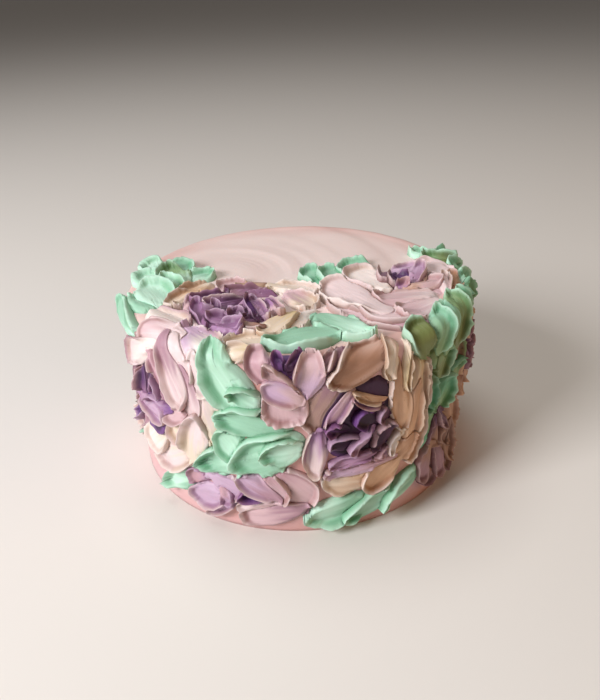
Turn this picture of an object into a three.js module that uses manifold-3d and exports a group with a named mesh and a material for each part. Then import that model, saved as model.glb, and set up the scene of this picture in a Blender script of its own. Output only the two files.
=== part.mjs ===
// A round cake under a smooth pink buttercream coat, dressed with palette-knife flowers and leaves.
// Millimetres, +Z up. The origin is the centre of the cake's flat base; the shown front faces -Y.
//
// Each flower is a set of knife strokes: a dab of buttercream pressed on with the blade and dragged,
// which leaves a dished face inside a raised lip. Strokes are written flat, as on a bench, and are
// then wrapped round the cake's wall, its rim and its top.

import * as THREE from 'three';
import { mergeVertices } from 'three/addons/utils/BufferGeometryUtils.js';
import Module from 'manifold-3d';

const wasm = await Module();
wasm.setup();

// Driving dimensions of the cake
const CAKE_RADIUS = 77;
const CAKE_HEIGHT = 82.5;
const RIM_ROUNDING = 3;
const WALL_FACETS = 36;
const RIM_STEPS = 2;

// Fits between separate pieces
const PIECE_GAP = 0.3;
const SINK = 1.5; // how far a stroke's foot reaches into the coat before it is trimmed
const FOOT_INSET = 0.93; // the foot's outline as a share of the lip's outline

// How a stroke is faceted
const BROAD_STROKE = 14.5; // strokes wider than this, or longer than the next, get more points
const LONG_STROKE = 40;
const BROAD_POINTS = 8;
const SLIM_POINTS = 6;
const DISH_SHARE = 0.7; // where the lip meets the dished face, as a share of the outline
const FULLNESS = 0.85; // 1 gives an ellipse, less gives squarer shoulders

// Knife presses. base: thickness under the face, rise: extra height at the tip, lip: ridge above the
// face, root: width at the root as a share of the widest, point: how sharp the tip is.
const OUTER = { base: 2.0, rise: 1.4, lip: 2.4, root: 0.6, point: 0 };
const BROAD = { base: 2.2, rise: 1.0, lip: 2.2, root: 0.9, point: 0 };
const MIDDLE = { base: 3.2, rise: 2.2, lip: 2.4, root: 0.6, point: 0 };
const HEART = { base: 1.8, rise: 2.6, lip: 3.2, root: 0.7, point: 0 };
const PAD = { base: 2.0, rise: 0, lip: 0.4, root: 0.95, point: 0 };
const LEAF = { base: 1.8, rise: 1.4, lip: 2.4, root: 0.7, point: 0.45 };

// Colours of the buttercream
const TONES = {
  coat: 0xe3bdb9,
  mint: 0x9fdcc0,
  beige: 0xdcb79e,
  blush: 0xe6c6c4,
  dusty: 0xc9a2ab,
  lilac: 0xb896c0,
  plum: 0x7c4f7c,
  mauve: 0x8f6678,
};

// Wall strokes are [root azimuth, root height, tip azimuth, tip height, width, press, lean].
// Azimuth is in degrees from the front, towards +X. Lean turns the highest point of the lip from
// the tip, in degrees, anticlockwise as seen from outside. Strokes are listed in the order laid.
const FRONT_ROSE = [
  [13, 80, 2, 53, 15, OUTER, -60],
  [39, 84, 35.5, 29, 13, BROAD, 70],
  [31, 86, 9, 77, 18, BROAD, -60],
  [36, 37, 22.5, 21, 15, OUTER, -20],
  [26, 31, 6, 24, 14, OUTER, 0],
  [4.5, 54, 4, 31, 9, OUTER, 60],
  [18, 72, 18, 33, 26, PAD, 0],
  [30.5, 75, 32, 46, 10, OUTER, -70],
  [27, 88, 28.5, 72, 7, MIDDLE, -60],
  [26, 43, 8, 35, 7, OUTER, 60],
  [32, 50, 24, 38, 6.5, OUTER, 40],
  [22, 55, 7.5, 39, 8, HEART, 60],
  [28.5, 54, 23.5, 44, 5, HEART, 0],
  [15, 71, 8, 55, 6, HEART, -50],
  [19, 54, 8, 50, 7, HEART, 40],
  [25, 66, 15.5, 68, 5, HEART, -60],
  [23, 63, 16, 55, 6, HEART, -60],
];
const SMALL_ROSE = [
  [-5.5, 72, -3.5, 55, 15, OUTER, 20],
  [-3, 88, -3, 70, 14, PAD, 0],
  [-4, 74, -12.5, 89, 10, OUTER, 60],
  [0.5, 66, 4.5, 85, 11, OUTER, 50],
  [-1.5, 79, -7, 88, 4, HEART, 0],
  [-2, 77, 2.5, 87, 5, HEART, 60],
  [1, 68, -9, 79, 6, MIDDLE, -60],
  [1.5, 67, -10, 74, 9, MIDDLE, 60],
];
const LILAC_BUD = [
  [-35, 26, -21.5, 22.5, 12, OUTER, 40],
  [-33, 27, -38, 20, 6, OUTER, 0],
  [-34, 15, -23, 9, 9, OUTER, -40],
  [-25, 19, -37, 13.5, 11, MIDDLE, 30],
  [-24, 23, -22, 13, 6, MIDDLE, 0],
];
const PINK_BLOSSOM = [
  [-10, 33, 3.5, 19, 15, OUTER, 50],
  [0, 17, -15.5, 10.5, 13, OUTER, 60],
  [-8, 18, -19, 13, 5, OUTER, -60],
  [-10, 31, -1, 18, 7, MIDDLE, 60],
  [-8, 20, -18, 26.5, 8, MIDDLE, 40],
  [-7, 19, -17, 20.5, 4, HEART, 0],
];
const LEFT_ROSE = [
  [-30, 84, -27.5, 61, 9, OUTER, 60],
  [-30, 64, -28, 42, 11, OUTER, 60],
  [-30, 38, -45, 28, 13, OUTER, 40],
  [-47, 44, -51, 31, 12, OUTER, 20],
  [-38, 86, -36, 66, 13, OUTER, 60],
  [-48, 76, -60, 79, 12, OUTER, -40],
  [-53, 67, -70, 73, 13, OUTER, 0],
  [-54, 58, -73, 48, 13, OUTER, 0],
  [-56, 46, -65, 36, 11, OUTER, 0],
  [-33, 84, -36, 40, 16, PAD, 0],
  [-50, 76, -50, 34, 24, PAD, 0],
  [-37, 31, -35, 54, 13, OUTER, 60],
  [-43, 34, -41, 51, 10, OUTER, 60],
  [-47, 84, -40.5, 55, 11, MIDDLE, -60],
  [-37, 72, -36.5, 50, 10, MIDDLE, -60],
  [-43, 52, -47, 40, 8, MIDDLE, 40],
  [-47, 43, -59, 49, 9, MIDDLE, -60],
  [-49, 69, -45.5, 51, 6, HEART, 60],
  [-54, 67, -51, 53, 5, HEART, 0],
  [-43.5, 48, -51, 54, 7, HEART, -40],
];
const MAUVE_ROSE = [
  [49, 38, 42, 23, 11, OUTER, 0],
  [44, 24, 43, 10, 8, OUTER, 30],
  [53, 40, 58, 21, 11, OUTER, 40],
  [50, 40, 46, 15, 9, MIDDLE, 30],
  [52, 30, 51, 10, 8, MIDDLE, 0],
  [55, 28, 58.5, 9, 10, OUTER, 0],
];

// Top strokes are [root x, root y, tip x, tip y, width, press, lean], in plan. Past the rim they
// fold down the wall.
const PLUM_ROSE = [
  [-36, -10, -50, -6, 9, OUTER, -60],
  [-10, -9, -38, -10, 9, OUTER, -60],
  [-46, -9, -57, -25, 9, OUTER, -60],
  [-44, -36, -60, -35, 15, OUTER, 0],
  [-34, -49, -51, -58, 12, OUTER, 0],
  [-31, -46, -33, -69, 13, OUTER, 0],
  [-20, -47, -20, -73, 16, OUTER, 0],
  [8, -33, -7, -54, 10, OUTER, 60],
  [-12, -13, 11, -19, 13, OUTER, 40],
  [-2, -31, -12, -60, 10, MIDDLE, 60],
  [-50, -28, -2, -28, 42, PAD, 0],
  [-30, -13, -46, -26, 9, MIDDLE, -50],
  [-43, -24, -42, -45, 9, MIDDLE, -50],
  [-42, -41, -27, -51, 9, MIDDLE, -50],
  [-26, -51, -13, -46, 7, MIDDLE, -40],
  [-14, -20, -11, -44, 8, MIDDLE, 60],
  [-15, -14, -2, -33, 8, MIDDLE, 50],
  [-18, -20, -36, -24, 8, HEART, -60],
  [-37, -25, -34, -40, 7, HEART, -60],
  [-34, -39, -22, -43, 7, HEART, -60],
  [-19, -43, -17, -25, 7, HEART, -60],
];
const BLUSH_ROSE = [
  [42, -30, 13, -12, 19, OUTER, 30],
  [58, -44, 19, -35, 14, OUTER, 70],
  [66, -30, 42, -40, 17, BROAD, 40],
  [54, -2, 70, 12, 14, OUTER, 20],
  [66, -24, 73, 0, 10, OUTER, -50],
  [68, -8, 22, -18, 34, PAD, 0],
  [34, -30, 23, -1, 14, MIDDLE, 40],
  [64, -31, 26, -37, 11, MIDDLE, 60],
  [64, -21, 36, -25, 11, MIDDLE, 60],
  [38, -20, 31, 9, 15, MIDDLE, 40],
  [48, -13, 65, -3, 11, MIDDLE, 50],
  [42, -12, 42, 7, 7, HEART, 40],
  [45, -14, 57, -10, 6, HEART, -60],
  [48, -10, 52, 13, 13, HEART, 30],
];

// Leaves on the wall, and leaves on the top. Those laid over each other make one tuft.
const WALL_LEAVES = {
  leaf_centre_tall: [[-15, 60, -27, 88, 17, LEAF, 50]],
  leaf_centre_curl: [[-12, 62, -18, 69, 9, LEAF, 40]],
  leaf_centre_low: [
    [1, 45, -20.5, 34, 19, LEAF, -70],
    [0, 44, -10.5, 40, 11, LEAF, -50],
  ],
  leaf_centre_flat: [[-4, 52, -24, 57.5, 14, LEAF, 50]],
  leaf_centre_left: [[-17, 46, -29, 31, 15, LEAF, -50]],
  leaf_foot_left: [[-34, 20, -49, 9.5, 10, LEAF, -60]],
  leaf_foot_far_left: [[-42, 24, -62, 31, 9, LEAF, -60]],
  leaf_foot_front: [[16, 17, 2, 10, 12, LEAF, -70]],
  leaf_foot_middle: [[29, 16, 12.5, 8, 11, LEAF, -70]],
  leaf_foot_right: [[41, 26, 24.5, 10, 12, LEAF, -70]],
  leaf_edge_left: [[-55, 74, -78, 88, 11, LEAF, 70]],
  leaf_between_roses: [[40, 42, 39, 17, 6, LEAF, 0]],
  leaves_right: [
    [50, 74, 48, 61, 10, LEAF, 60],
    [44, 61, 56, 60, 8, LEAF, 60],
    [45, 41, 47, 56, 9, LEAF, 60],
    [49, 43, 57, 61, 12, LEAF, -60],
  ],
};
const TOP_LEAVES = {
  leaf_rim_front: [[15, -55, -12, -65, 18, LEAF, 60]],
  leaf_rim_middle: [[8, -42, 30, -58, 13, LEAF, -60]],
  leaves_rim_right: [
    [75, -51, 68, -27, 16, LEAF, 60],
    [66, -60, 60, -35, 17, LEAF, 60],
    [55, -68, 49, -44, 17, LEAF, 60],
  ],
  leaves_back_right: [
    [73, -26, 77, -3, 10, LEAF, -60],
    [75, -8, 74, 18, 10, LEAF, -60],
    [73, 8, 71, 31, 10, LEAF, 60],
    [64, 10, 66, 30, 12, LEAF, 60],
    [60, 12, 56, 32, 9, LEAF, 60],
  ],
  leaves_top_middle: [
    [30, -5, 27, 19, 14, LEAF, 60],
    [13, -20, 7, 8, 13, LEAF, 60],
    [25, -8, 14, 8, 13, LEAF, 60],
  ],
  leaves_top_left: [
    [-63, 6, -68, 27, 13, LEAF, 60],
    [-64, -4, -75, 11, 14, LEAF, 60],
    [-61, -16, -76, -9, 16, LEAF, 60],
    [-58, 0, -57, 24, 15, LEAF, -60],
    [-57, -6, -40, 7, 15, LEAF, -60],
    [-58, -18, -62, 10, 15, LEAF, 60],
  ],
};

// The side turned away is dressed by one recipe: roses in a row, and in each gap a bud at the foot
// and two leaves. [azimuth, height, radius, tone]
const BACK_ROSES = [
  [80, 51, 22, 'dusty'],
  [122, 44, 26, 'blush'],
  [166, 41, 26, 'plum'],
  [210, 45, 26, 'beige'],
  [254, 43, 25, 'lilac'],
];
const BACK_RINGS = [
  { count: 5, inner: 0.35, outer: 1.0, width: 0.85, swing: 24, start: 10, press: OUTER },
  { count: 3, inner: 0.1, outer: 0.66, width: 0.5, swing: 38, start: 50, press: MIDDLE },
];
const BACK_GAP = 22; // from a rose to the middle of the gap after it, in degrees
const BACK_BUD_HEIGHT = 15;
const BACK_LEAF_HEIGHTS = [68, 31];

const radians = THREE.MathUtils.degToRad;
const lerp = THREE.MathUtils.lerp;

// Where a bench point lies on the cake. azimuth in radians; below is the distance under the rim's
// sharp corner, negative on the top; lift is the distance out of the coat.
function onCake(azimuth, below, lift) {
  const halfArc = (Math.PI * RIM_ROUNDING) / 4;
  const turn = THREE.MathUtils.clamp((below + halfArc) / RIM_ROUNDING, 0, Math.PI / 2);
  const inward = Math.min(below + halfArc, 0);
  const down = Math.max(below - halfArc, 0);
  const reach = CAKE_RADIUS - RIM_ROUNDING + inward + (RIM_ROUNDING + lift) * Math.sin(turn);
  const height = CAKE_HEIGHT - RIM_ROUNDING - down + (RIM_ROUNDING + lift) * Math.cos(turn);
  return new THREE.Vector3(reach * Math.sin(azimuth), -reach * Math.cos(azimuth), height);
}

const wrapWall = (x, y, lift) => onCake(x / CAKE_RADIUS, CAKE_HEIGHT - y, lift);
const wrapTop = (x, y, lift) => onCake(Math.atan2(x, -y), Math.hypot(x, y) - CAKE_RADIUS, lift);

const squarer = (value) => Math.sign(value) * Math.pow(Math.abs(value), FULLNESS);

// One point of a stroke, from its share of the outline and its angle from the tip
function strokePoint(stroke, share, angle, lift) {
  const { press, length, width, cos, sin } = stroke;
  const along = 0.5 + 0.5 * share * squarer(Math.cos(angle));
  const taper = lerp(press.root, 1, THREE.MathUtils.smoothstep(along, 0, 0.7));
  const sharpening = Math.pow(Math.max(1 - along, 0.001), press.point * 0.5) * (1 + 0.35 * press.point);
  const x = length * along;
  const y = 0.5 * width * share * squarer(Math.sin(angle)) * taper * sharpening;
  return stroke.wrap(stroke.rootX + x * cos - y * sin, stroke.rootY + x * sin + y * cos, lift);
}

// A row of a table as a stroke on the bench, in millimetres. grow widens it on every side.
function readStroke([a0, b0, a1, b1, width, press, lean], wrap, grow) {
  const scale = wrap === wrapWall ? radians(1) * CAKE_RADIUS : 1;
  const [x0, x1] = [a0 * scale, a1 * scale];
  const heading = Math.atan2(b1 - b0, x1 - x0);
  const [cos, sin] = [Math.cos(heading), Math.sin(heading)];
  const reach = Math.hypot(x1 - x0, b1 - b0);
  return {
    press, wrap, cos, sin, grow,
    lean: radians(lean),
    broad: width > BROAD_STROKE || reach > LONG_STROKE,
    length: reach + 2 * grow,
    width: width + 2 * grow,
    rootX: x0 - grow * cos,
    rootY: b0 - grow * sin,
  };
}

// A stroke as a closed solid: foot, lip and dished face. A grown one is a cutter, so it is blunt:
// its sides stand straight and its face is level with the lip.
function strokeGeometry(stroke) {
  const { press, lean, grow, broad } = stroke;
  const count = broad ? BROAD_POINTS : SLIM_POINTS;
  const blunt = grow > 0;
  const face = (share, angle) => press.base + press.rise * (0.5 + 0.5 * share * Math.cos(angle)) + grow;
  const lip = (angle) => press.lip * (0.65 + 0.35 * Math.cos(angle - lean));
  const dish = (share, angle) => face(share, angle) + (blunt ? lip(angle) : 0);
  const rings = [
    [blunt ? 1 : FOOT_INSET, () => -SINK],
    [1, (angle) => face(1, angle) + lip(angle)],
  ];
  if (broad) rings.push([DISH_SHARE, (angle) => dish(DISH_SHARE, angle)]);
  const points = rings.flatMap(([share, lift]) => Array.from({ length: count }, (_, i) => {
    const angle = (2 * Math.PI * i) / count;
    return strokePoint(stroke, share, angle, lift(angle));
  }));
  const [footCentre, faceCentre] = [points.length, points.length + 1];
  points.push(strokePoint(stroke, 0, 0, -SINK));
  points.push(strokePoint(stroke, 0, 0, dish(0, 0)));

  const faces = [];
  const last = (rings.length - 1) * count;
  for (let i = 0; i < count; i++) {
    const next = (i + 1) % count;
    faces.push(footCentre, next, i);
    for (let a = i, b = next; a < last; a += count, b += count) {
      faces.push(a, b, b + count, a, b + count, a + count);
    }
    faces.push(last + i, last + next, faceCentre);
  }
  const geometry = new THREE.BufferGeometry().setFromPoints(points);
  geometry.setIndex(faces);
  return geometry;
}

function toSolid(geometry) {
  const bare = geometry.clone();
  bare.deleteAttribute('normal');
  bare.deleteAttribute('uv');
  const merged = mergeVertices(bare);
  return new wasm.Manifold(new wasm.Mesh({
    numProp: 3,
    vertProperties: Float32Array.from(merged.attributes.position.array),
    triVerts: Uint32Array.from(merged.index.array),
  }));
}

function toGeometry(solid) {
  const mesh = solid.getMesh();
  const geometry = new THREE.BufferGeometry();
  geometry.setAttribute('position', new THREE.BufferAttribute(mesh.vertProperties, 3));
  geometry.setIndex(new THREE.BufferAttribute(mesh.triVerts, 1));
  geometry.computeVertexNormals();
  return geometry;
}

const joinStrokes = (rows, wrap, grow) =>
  rows.map((row) => toSolid(strokeGeometry(readStroke(row, wrap, grow))))
    .reduce((all, one) => all.add(one));

// The coat: straight wall, rounded rim and flat top. grow makes the cutter that trims strokes.
function coatGeometry(grow = 0) {
  const reach = CAKE_RADIUS + grow;
  const top = CAKE_HEIGHT + grow;
  const corner = RIM_ROUNDING + grow;
  const profile = [new THREE.Vector2(0, -grow), new THREE.Vector2(reach, -grow)];
  for (let i = 0; i <= RIM_STEPS; i++) {
    const turn = (Math.PI / 2) * (i / RIM_STEPS);
    profile.push(new THREE.Vector2(
      reach - corner + corner * Math.cos(turn),
      top - corner + corner * Math.sin(turn),
    ));
  }
  profile.push(new THREE.Vector2(0, top));
  return new THREE.LatheGeometry(profile, WALL_FACETS).rotateX(Math.PI / 2);
}

// Rings of petals round a centre on the wall, for the side turned away
function backRose([azimuth, height, radius]) {
  const perDegree = radians(1) * CAKE_RADIUS;
  const place = (angle, reach) => [
    azimuth + (reach * radius * Math.cos(angle)) / perDegree,
    height + reach * radius * Math.sin(angle),
  ];
  const bed = [azimuth, height + 0.5 * radius, azimuth, height - 0.5 * radius, radius, PAD, 0];
  const rings = BACK_RINGS.map(({ count, inner, outer, width, swing, start, press }) =>
    Array.from({ length: count }, (_, i) => {
      const angle = radians(start + (360 * i) / count);
      const root = place(angle - radians(swing), inner);
      const tip = place(angle + radians(swing), outer);
      return [...root, ...tip, width * radius, press, 20];
    }));
  return [...rings[0], bed, ...rings[1]];
}

// Bud of three strokes at the foot of a gap, and the leaf above and below it
const backBud = (azimuth, height) => [
  [azimuth - 3, height + 7, azimuth - 3, height - 7, 12, OUTER, 0],
  [azimuth - 1, height + 6, azimuth + 6, height - 6, 9, MIDDLE, 0],
];
const backLeaf = (azimuth, height, side) => [
  [azimuth - side * 8, height - 8, azimuth + side * 9, height + 6, 12, LEAF, side * 60],
];

// Every piece as { name, tone, rows, wrap }, the last laid first, because a piece is cut round
// those that lie on it.
function listPieces() {
  const wall = (name, tone, rows) => ({ name, tone, rows, wrap: wrapWall });
  const top = (name, tone, rows) => ({ name, tone, rows, wrap: wrapTop });
  const leaves = (...names) => names.map((name) => (
    name in TOP_LEAVES ? top(name, 'mint', TOP_LEAVES[name]) : wall(name, 'mint', WALL_LEAVES[name])
  ));
  const pieces = [
    ...leaves('leaf_rim_front'),
    wall('rose_front', 'beige', FRONT_ROSE),
    wall('rose_small', 'dusty', SMALL_ROSE),
    ...leaves('leaf_centre_curl', 'leaf_centre_tall', 'leaf_centre_low', 'leaf_centre_flat'),
    ...leaves('leaf_centre_left', 'leaf_rim_middle'),
    wall('blossom_pink', 'blush', PINK_BLOSSOM),
    wall('bud_lilac', 'lilac', LILAC_BUD),
    ...leaves('leaves_rim_right'),
    wall('rose_left', 'blush', LEFT_ROSE),
    top('rose_plum', 'plum', PLUM_ROSE),
    top('rose_blush', 'blush', BLUSH_ROSE),
    wall('rose_mauve', 'mauve', MAUVE_ROSE),
    ...leaves('leaves_right', 'leaf_foot_right', 'leaf_foot_middle', 'leaf_foot_front'),
    ...leaves('leaf_foot_left', 'leaf_foot_far_left', 'leaf_edge_left', 'leaf_between_roses'),
    ...leaves('leaves_top_left', 'leaves_top_middle', 'leaves_back_right'),
  ];
  BACK_ROSES.forEach((rose, i) => pieces.push(wall(`rose_back_${i + 1}`, rose[3], backRose(rose))));
  BACK_ROSES.slice(0, -1).forEach(([azimuth], i) => {
    const gap = azimuth + BACK_GAP;
    pieces.push(wall(`bud_back_${i + 1}`, 'lilac', backBud(gap, BACK_BUD_HEIGHT)));
    BACK_LEAF_HEIGHTS.forEach((height, j) => {
      const side = (i + j) % 2 ? 1 : -1;
      pieces.push(wall(`leaf_back_${i + 1}_${j + 1}`, 'mint', backLeaf(gap, height, side)));
    });
  });
  return pieces;
}

const volumeOf = (solid) => (typeof solid.volume === 'function' ? solid.volume() : solid.getProperties().volume);
const largest = (solid) => solid.decompose().reduce((best, one) => (volumeOf(one) > volumeOf(best) ? one : best));

function creamMesh(name, tone, geometry) {
  const material = new THREE.MeshStandardMaterial({ color: TONES[tone], roughness: 0.5, metalness: 0 });
  material.name = `buttercream_${tone}`;
  const mesh = new THREE.Mesh(geometry, material);
  mesh.name = name;
  return mesh;
}

function buildCake() {
  const cake = new THREE.Group();
  cake.name = 'buttercream_cake';
  cake.add(creamMesh('coated_cake', 'coat', toGeometry(toSolid(coatGeometry()))));
  const trimmer = toSolid(coatGeometry(PIECE_GAP));
  let laidOver = null;
  for (const { name, tone, rows, wrap } of listPieces()) {
    let solid = joinStrokes(rows, wrap, 0).subtract(trimmer);
    if (laidOver) solid = solid.subtract(laidOver);
    cake.add(creamMesh(name, tone, toGeometry(largest(solid))));
    const grown = joinStrokes(rows, wrap, PIECE_GAP);
    laidOver = laidOver ? laidOver.add(grown) : grown;
  }
  return cake;
}

export default buildCake();
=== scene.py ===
# %% [markdown]
# Buttercream cake with palette-knife flowers.
# A small round cake stands under a smooth pink coat. Roses, buds and leaves of buttercream are
# pressed on it with a palette knife, and crowd its front, its right side and the front of its top.
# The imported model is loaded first. It fixes where everything goes: each piece made here takes the
# place of one of its nodes.

# %% Load the frame
import itertools
import math
from dataclasses import dataclass

import bpy
import numpy as np
from mathutils import Matrix, Vector


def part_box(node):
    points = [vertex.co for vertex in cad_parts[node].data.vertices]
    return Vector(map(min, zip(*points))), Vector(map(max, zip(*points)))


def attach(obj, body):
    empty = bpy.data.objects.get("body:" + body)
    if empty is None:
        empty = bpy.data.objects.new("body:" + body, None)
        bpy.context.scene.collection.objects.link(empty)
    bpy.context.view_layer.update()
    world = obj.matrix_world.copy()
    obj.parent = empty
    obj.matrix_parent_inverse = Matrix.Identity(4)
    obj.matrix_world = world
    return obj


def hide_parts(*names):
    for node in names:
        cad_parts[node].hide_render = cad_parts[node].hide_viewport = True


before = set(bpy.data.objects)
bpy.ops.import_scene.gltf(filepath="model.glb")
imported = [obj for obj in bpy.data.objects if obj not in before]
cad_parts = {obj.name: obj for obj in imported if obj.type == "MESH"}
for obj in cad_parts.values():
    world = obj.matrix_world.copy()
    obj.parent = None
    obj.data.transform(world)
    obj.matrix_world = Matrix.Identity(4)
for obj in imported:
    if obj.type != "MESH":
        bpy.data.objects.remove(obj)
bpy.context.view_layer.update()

MM = 0.001
print("the frame has", len(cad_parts), "nodes")

# %% [markdown]
# The size of the coated cake comes from the frame, so a change there carries through to the looks.
# Everything below is worked out in millimetres and turned into metres at the last step.

# %% Size of the cake
coat_low, coat_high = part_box("coated_cake")
CAKE_RADIUS = (coat_high.x - coat_low.x) / 2 / MM
CAKE_HEIGHT = coat_high.z / MM
RIM_ROUNDING = 3
RIM_HALF_ARC = math.pi * RIM_ROUNDING / 4
print("radius", round(CAKE_RADIUS, 1), "height", round(CAKE_HEIGHT, 1))

# %% [markdown]
# The camera stands where the photograph was taken: a little above the cake, looking down at it,
# and tipped very slightly to one side. Its place and tilt were worked out once from the round foot
# and rim of the cake, whose true sizes are known.

# %% Camera
EYE = Vector((1.0, -306.5, 212.2)) * MM
PITCH_DOWN = math.radians(28.58)
ROLL = math.radians(-1.66)
LENS = 36.80
SENSOR = 36.0


def add_camera():
    """A camera from its eye point, pitch and roll."""
    back = Vector((0, -math.cos(PITCH_DOWN), math.sin(PITCH_DOWN)))
    level_up = Vector((0, math.sin(PITCH_DOWN), math.cos(PITCH_DOWN)))
    level_right = Vector((1, 0, 0))
    right = level_right * math.cos(ROLL) + level_up * math.sin(ROLL)
    up = level_up * math.cos(ROLL) - level_right * math.sin(ROLL)
    turn = Matrix((right, up, back)).transposed()
    bpy.ops.object.camera_add(location=EYE, rotation=turn.to_euler())
    camera = bpy.context.object
    camera.data.lens = LENS
    camera.data.sensor_width = SENSOR
    camera.data.sensor_fit = "VERTICAL"
    camera.data.sensor_height = SENSOR
    camera.data.clip_start = 0.01
    bpy.context.scene.camera = camera
    print("camera looks down", round(math.degrees(PITCH_DOWN), 1), "degrees")


add_camera()

# %% [markdown]
# The cake was lit by one broad soft window at its left. Three area lights take its place: a large
# one at the left for the window, a broad dim one overhead, and a weak warm one low on the right for
# the light that a room sends back. A pale world fills the shadows. Area lights are used because a
# sun or a point light would draw hard shadows under every petal.

# %% Lights
AIM_HEIGHT = 40 * MM


def add_soft_light(name, place, size, power, colour):
    """A square area light that faces the middle of the cake."""
    aim = Vector((0, 0, AIM_HEIGHT)) - Vector(place)
    turn = aim.to_track_quat("-Z", "Y").to_euler()
    bpy.ops.object.light_add(type="AREA", location=place, rotation=turn)
    light = bpy.context.object
    light.name = name
    light.data.size = size
    light.data.energy = power
    light.data.color = colour
    print(name, power, "W")


add_soft_light("window", (-0.82, -0.62, 0.66), 0.45, 14.5, (1.0, 0.98, 1.0))
add_soft_light("room_above", (-0.25, 0.25, 1.5), 0.9, 8.2, (1.0, 0.98, 0.95))
add_soft_light("room_right", (1.2, -0.4, 0.4), 0.7, 2.8, (1.0, 0.62, 0.28))

world = bpy.data.worlds.new("pale_room")
world.use_nodes = True
backdrop = world.node_tree.nodes["Background"]
backdrop.inputs["Color"].default_value = (0.84, 0.76, 0.70, 1)
backdrop.inputs["Strength"].default_value = 0.13
bpy.context.scene.world = world
bpy.context.scene.view_settings.view_transform = "Standard"

# %% [markdown]
# The floor is one plain pale sheet. It is stage, not part of the cake.

# %% Floor
bpy.ops.object.select_all(action="DESELECT")
bpy.ops.mesh.primitive_plane_add(size=12, location=(0, 0, 0))
floor = bpy.context.object
floor.name = "floor"
floor_paint = bpy.data.materials.new("pale floor")
floor_paint.use_nodes = True
floor_skin = floor_paint.node_tree.nodes["Principled BSDF"]
floor_skin.inputs["Base Color"].default_value = (0.78, 0.75, 0.71, 1)
floor_skin.inputs["Roughness"].default_value = 0.7
floor.data.materials.append(floor_paint)
print(floor.name, floor.dimensions.x, "m square")

# %% [markdown]
# Buttercream is coloured by hand and half mixed, so every stroke of the knife drags two shades side
# by side. Its lip is painted paler: partly paler cream, partly a painted highlight where the lip
# catches the light. The shades below are named as a decorator would name them. They are written as
# screen colours and turned into the linear ones that Blender works in.

# %% Shades of buttercream
SHADES = {
    "ivory": "efe2dc", "cream": "e4d2bf", "butter": "e3cca2", "beige": "cfac8e", "tan": "c2977a",
    "brown": "a47a62", "taupe": "ab8b80", "sand": "c9a595", "peach": "dcb393", "cocoa": "8b6456",
    "shell": "e4cfcf", "blush": "d4b4b8", "rose": "c29aa3", "dusty": "b08a97", "mauve": "906c78",
    "lilac": "c9acc4", "thistle": "b690ac", "orchid": "a77ea4", "heather": "936a8c",
    "violet": "7f5494", "grape": "5d3a68", "wine": "572e4d", "plum": "3c1a38",
    # The deep mint and the olive are painted shade: darker, warmer copies of mint for leaves in shade.
    "mint": "98c6ab", "softmint": "b0d8c0", "palemint": "c6e9d5", "deepmint": "72ad8c",
    "sage": "8aa97c", "olive": "78834f", "coat": "ecd9d4", "wall": "dfbec4", "band": "d6a199",
}


def linear(shade):
    """A named shade as linear red, green and blue."""
    code = SHADES[shade]
    screen = np.array([int(code[i:i + 2], 16) / 255 for i in (0, 2, 4)])
    return np.where(screen <= 0.04045, screen / 12.92, ((screen + 0.055) / 1.055) ** 2.4)


print(len(SHADES), "shades, the coat is", linear("coat").round(2))

# %% [markdown]
# Soft randomness is needed everywhere: wavy lips, streaks, dents. It comes from lattice noise: each
# whole-numbered point has a fixed random value, and places between them blend smoothly. The values
# depend only on the point and a seed, so every run gives the same cake.

# %% Soft noise
AXIS_PRIMES = (374761393, 668265263, 362437)
SEED_PRIME = 1274126177
SEED_START = 974711
STIRRING = 1103515245


def lattice_value(cell, seed):
    """A fixed random value from 0 to 1 for each whole-numbered cell."""
    mixed = np.full(cell.shape[0], seed * SEED_PRIME + SEED_START, np.int64)
    for axis, prime in zip(range(cell.shape[1]), AXIS_PRIMES):
        mixed = (mixed + cell[:, axis] * prime) & 0xFFFFFFFF
        mixed = ((mixed ^ (mixed >> 13)) * STIRRING) & 0xFFFFFFFF
    return ((mixed ^ (mixed >> 16)) & 0xFFFF) / 0xFFFF


def noise(points, seed=0):
    """Smooth noise from 0 to 1 at points given as columns, one feature for each unit."""
    points = np.stack(np.broadcast_arrays(*points), -1)
    shape = points.shape[:-1]
    points = points.reshape(-1, points.shape[-1])
    cell = np.floor(points).astype(np.int64)
    part = points - cell
    part = part * part * (3 - 2 * part)
    total = np.zeros(len(points))
    for corner in itertools.product((0, 1), repeat=points.shape[1]):
        corner = np.array(corner)
        weight = np.where(corner, part, 1 - part).prod(1)
        total += weight * lattice_value(cell + corner, seed)
    return total.reshape(shape)


def smooth(value, start, end):
    """0 before start, 1 after end, and an S curve between."""
    t = np.clip((value - start) / (end - start), 0, 1)
    return t * t * (3 - 2 * t)


def hump(distance, spread):
    """1 at no distance, falling to nothing over about twice the spread."""
    return np.exp(-(distance / spread) ** 2)


print("noise at the middle of a cell", noise((np.array([0.5]), np.array([0.5]))).round(3))

# %% [markdown]
# Strokes are planned flat, as on a bench, and then wrapped on the cake. There are two benches: one
# is the wall unrolled, the other is the top seen from above. Both fold over the rounded rim.

# %% Wrap the bench round the cake
def on_cake(azimuth, below, lift):
    """Bench point to cake: azimuth in radians, below the rim's corner in mm, lift off the coat."""
    turn = np.clip((below + RIM_HALF_ARC) / RIM_ROUNDING, 0, math.pi / 2)
    inward = np.minimum(below + RIM_HALF_ARC, 0)
    down = np.maximum(below - RIM_HALF_ARC, 0)
    reach = CAKE_RADIUS - RIM_ROUNDING + inward + (RIM_ROUNDING + lift) * np.sin(turn)
    height = CAKE_HEIGHT - RIM_ROUNDING - down + (RIM_ROUNDING + lift) * np.cos(turn)
    return np.stack([reach * np.sin(azimuth), -reach * np.cos(azimuth), height], -1)


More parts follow.
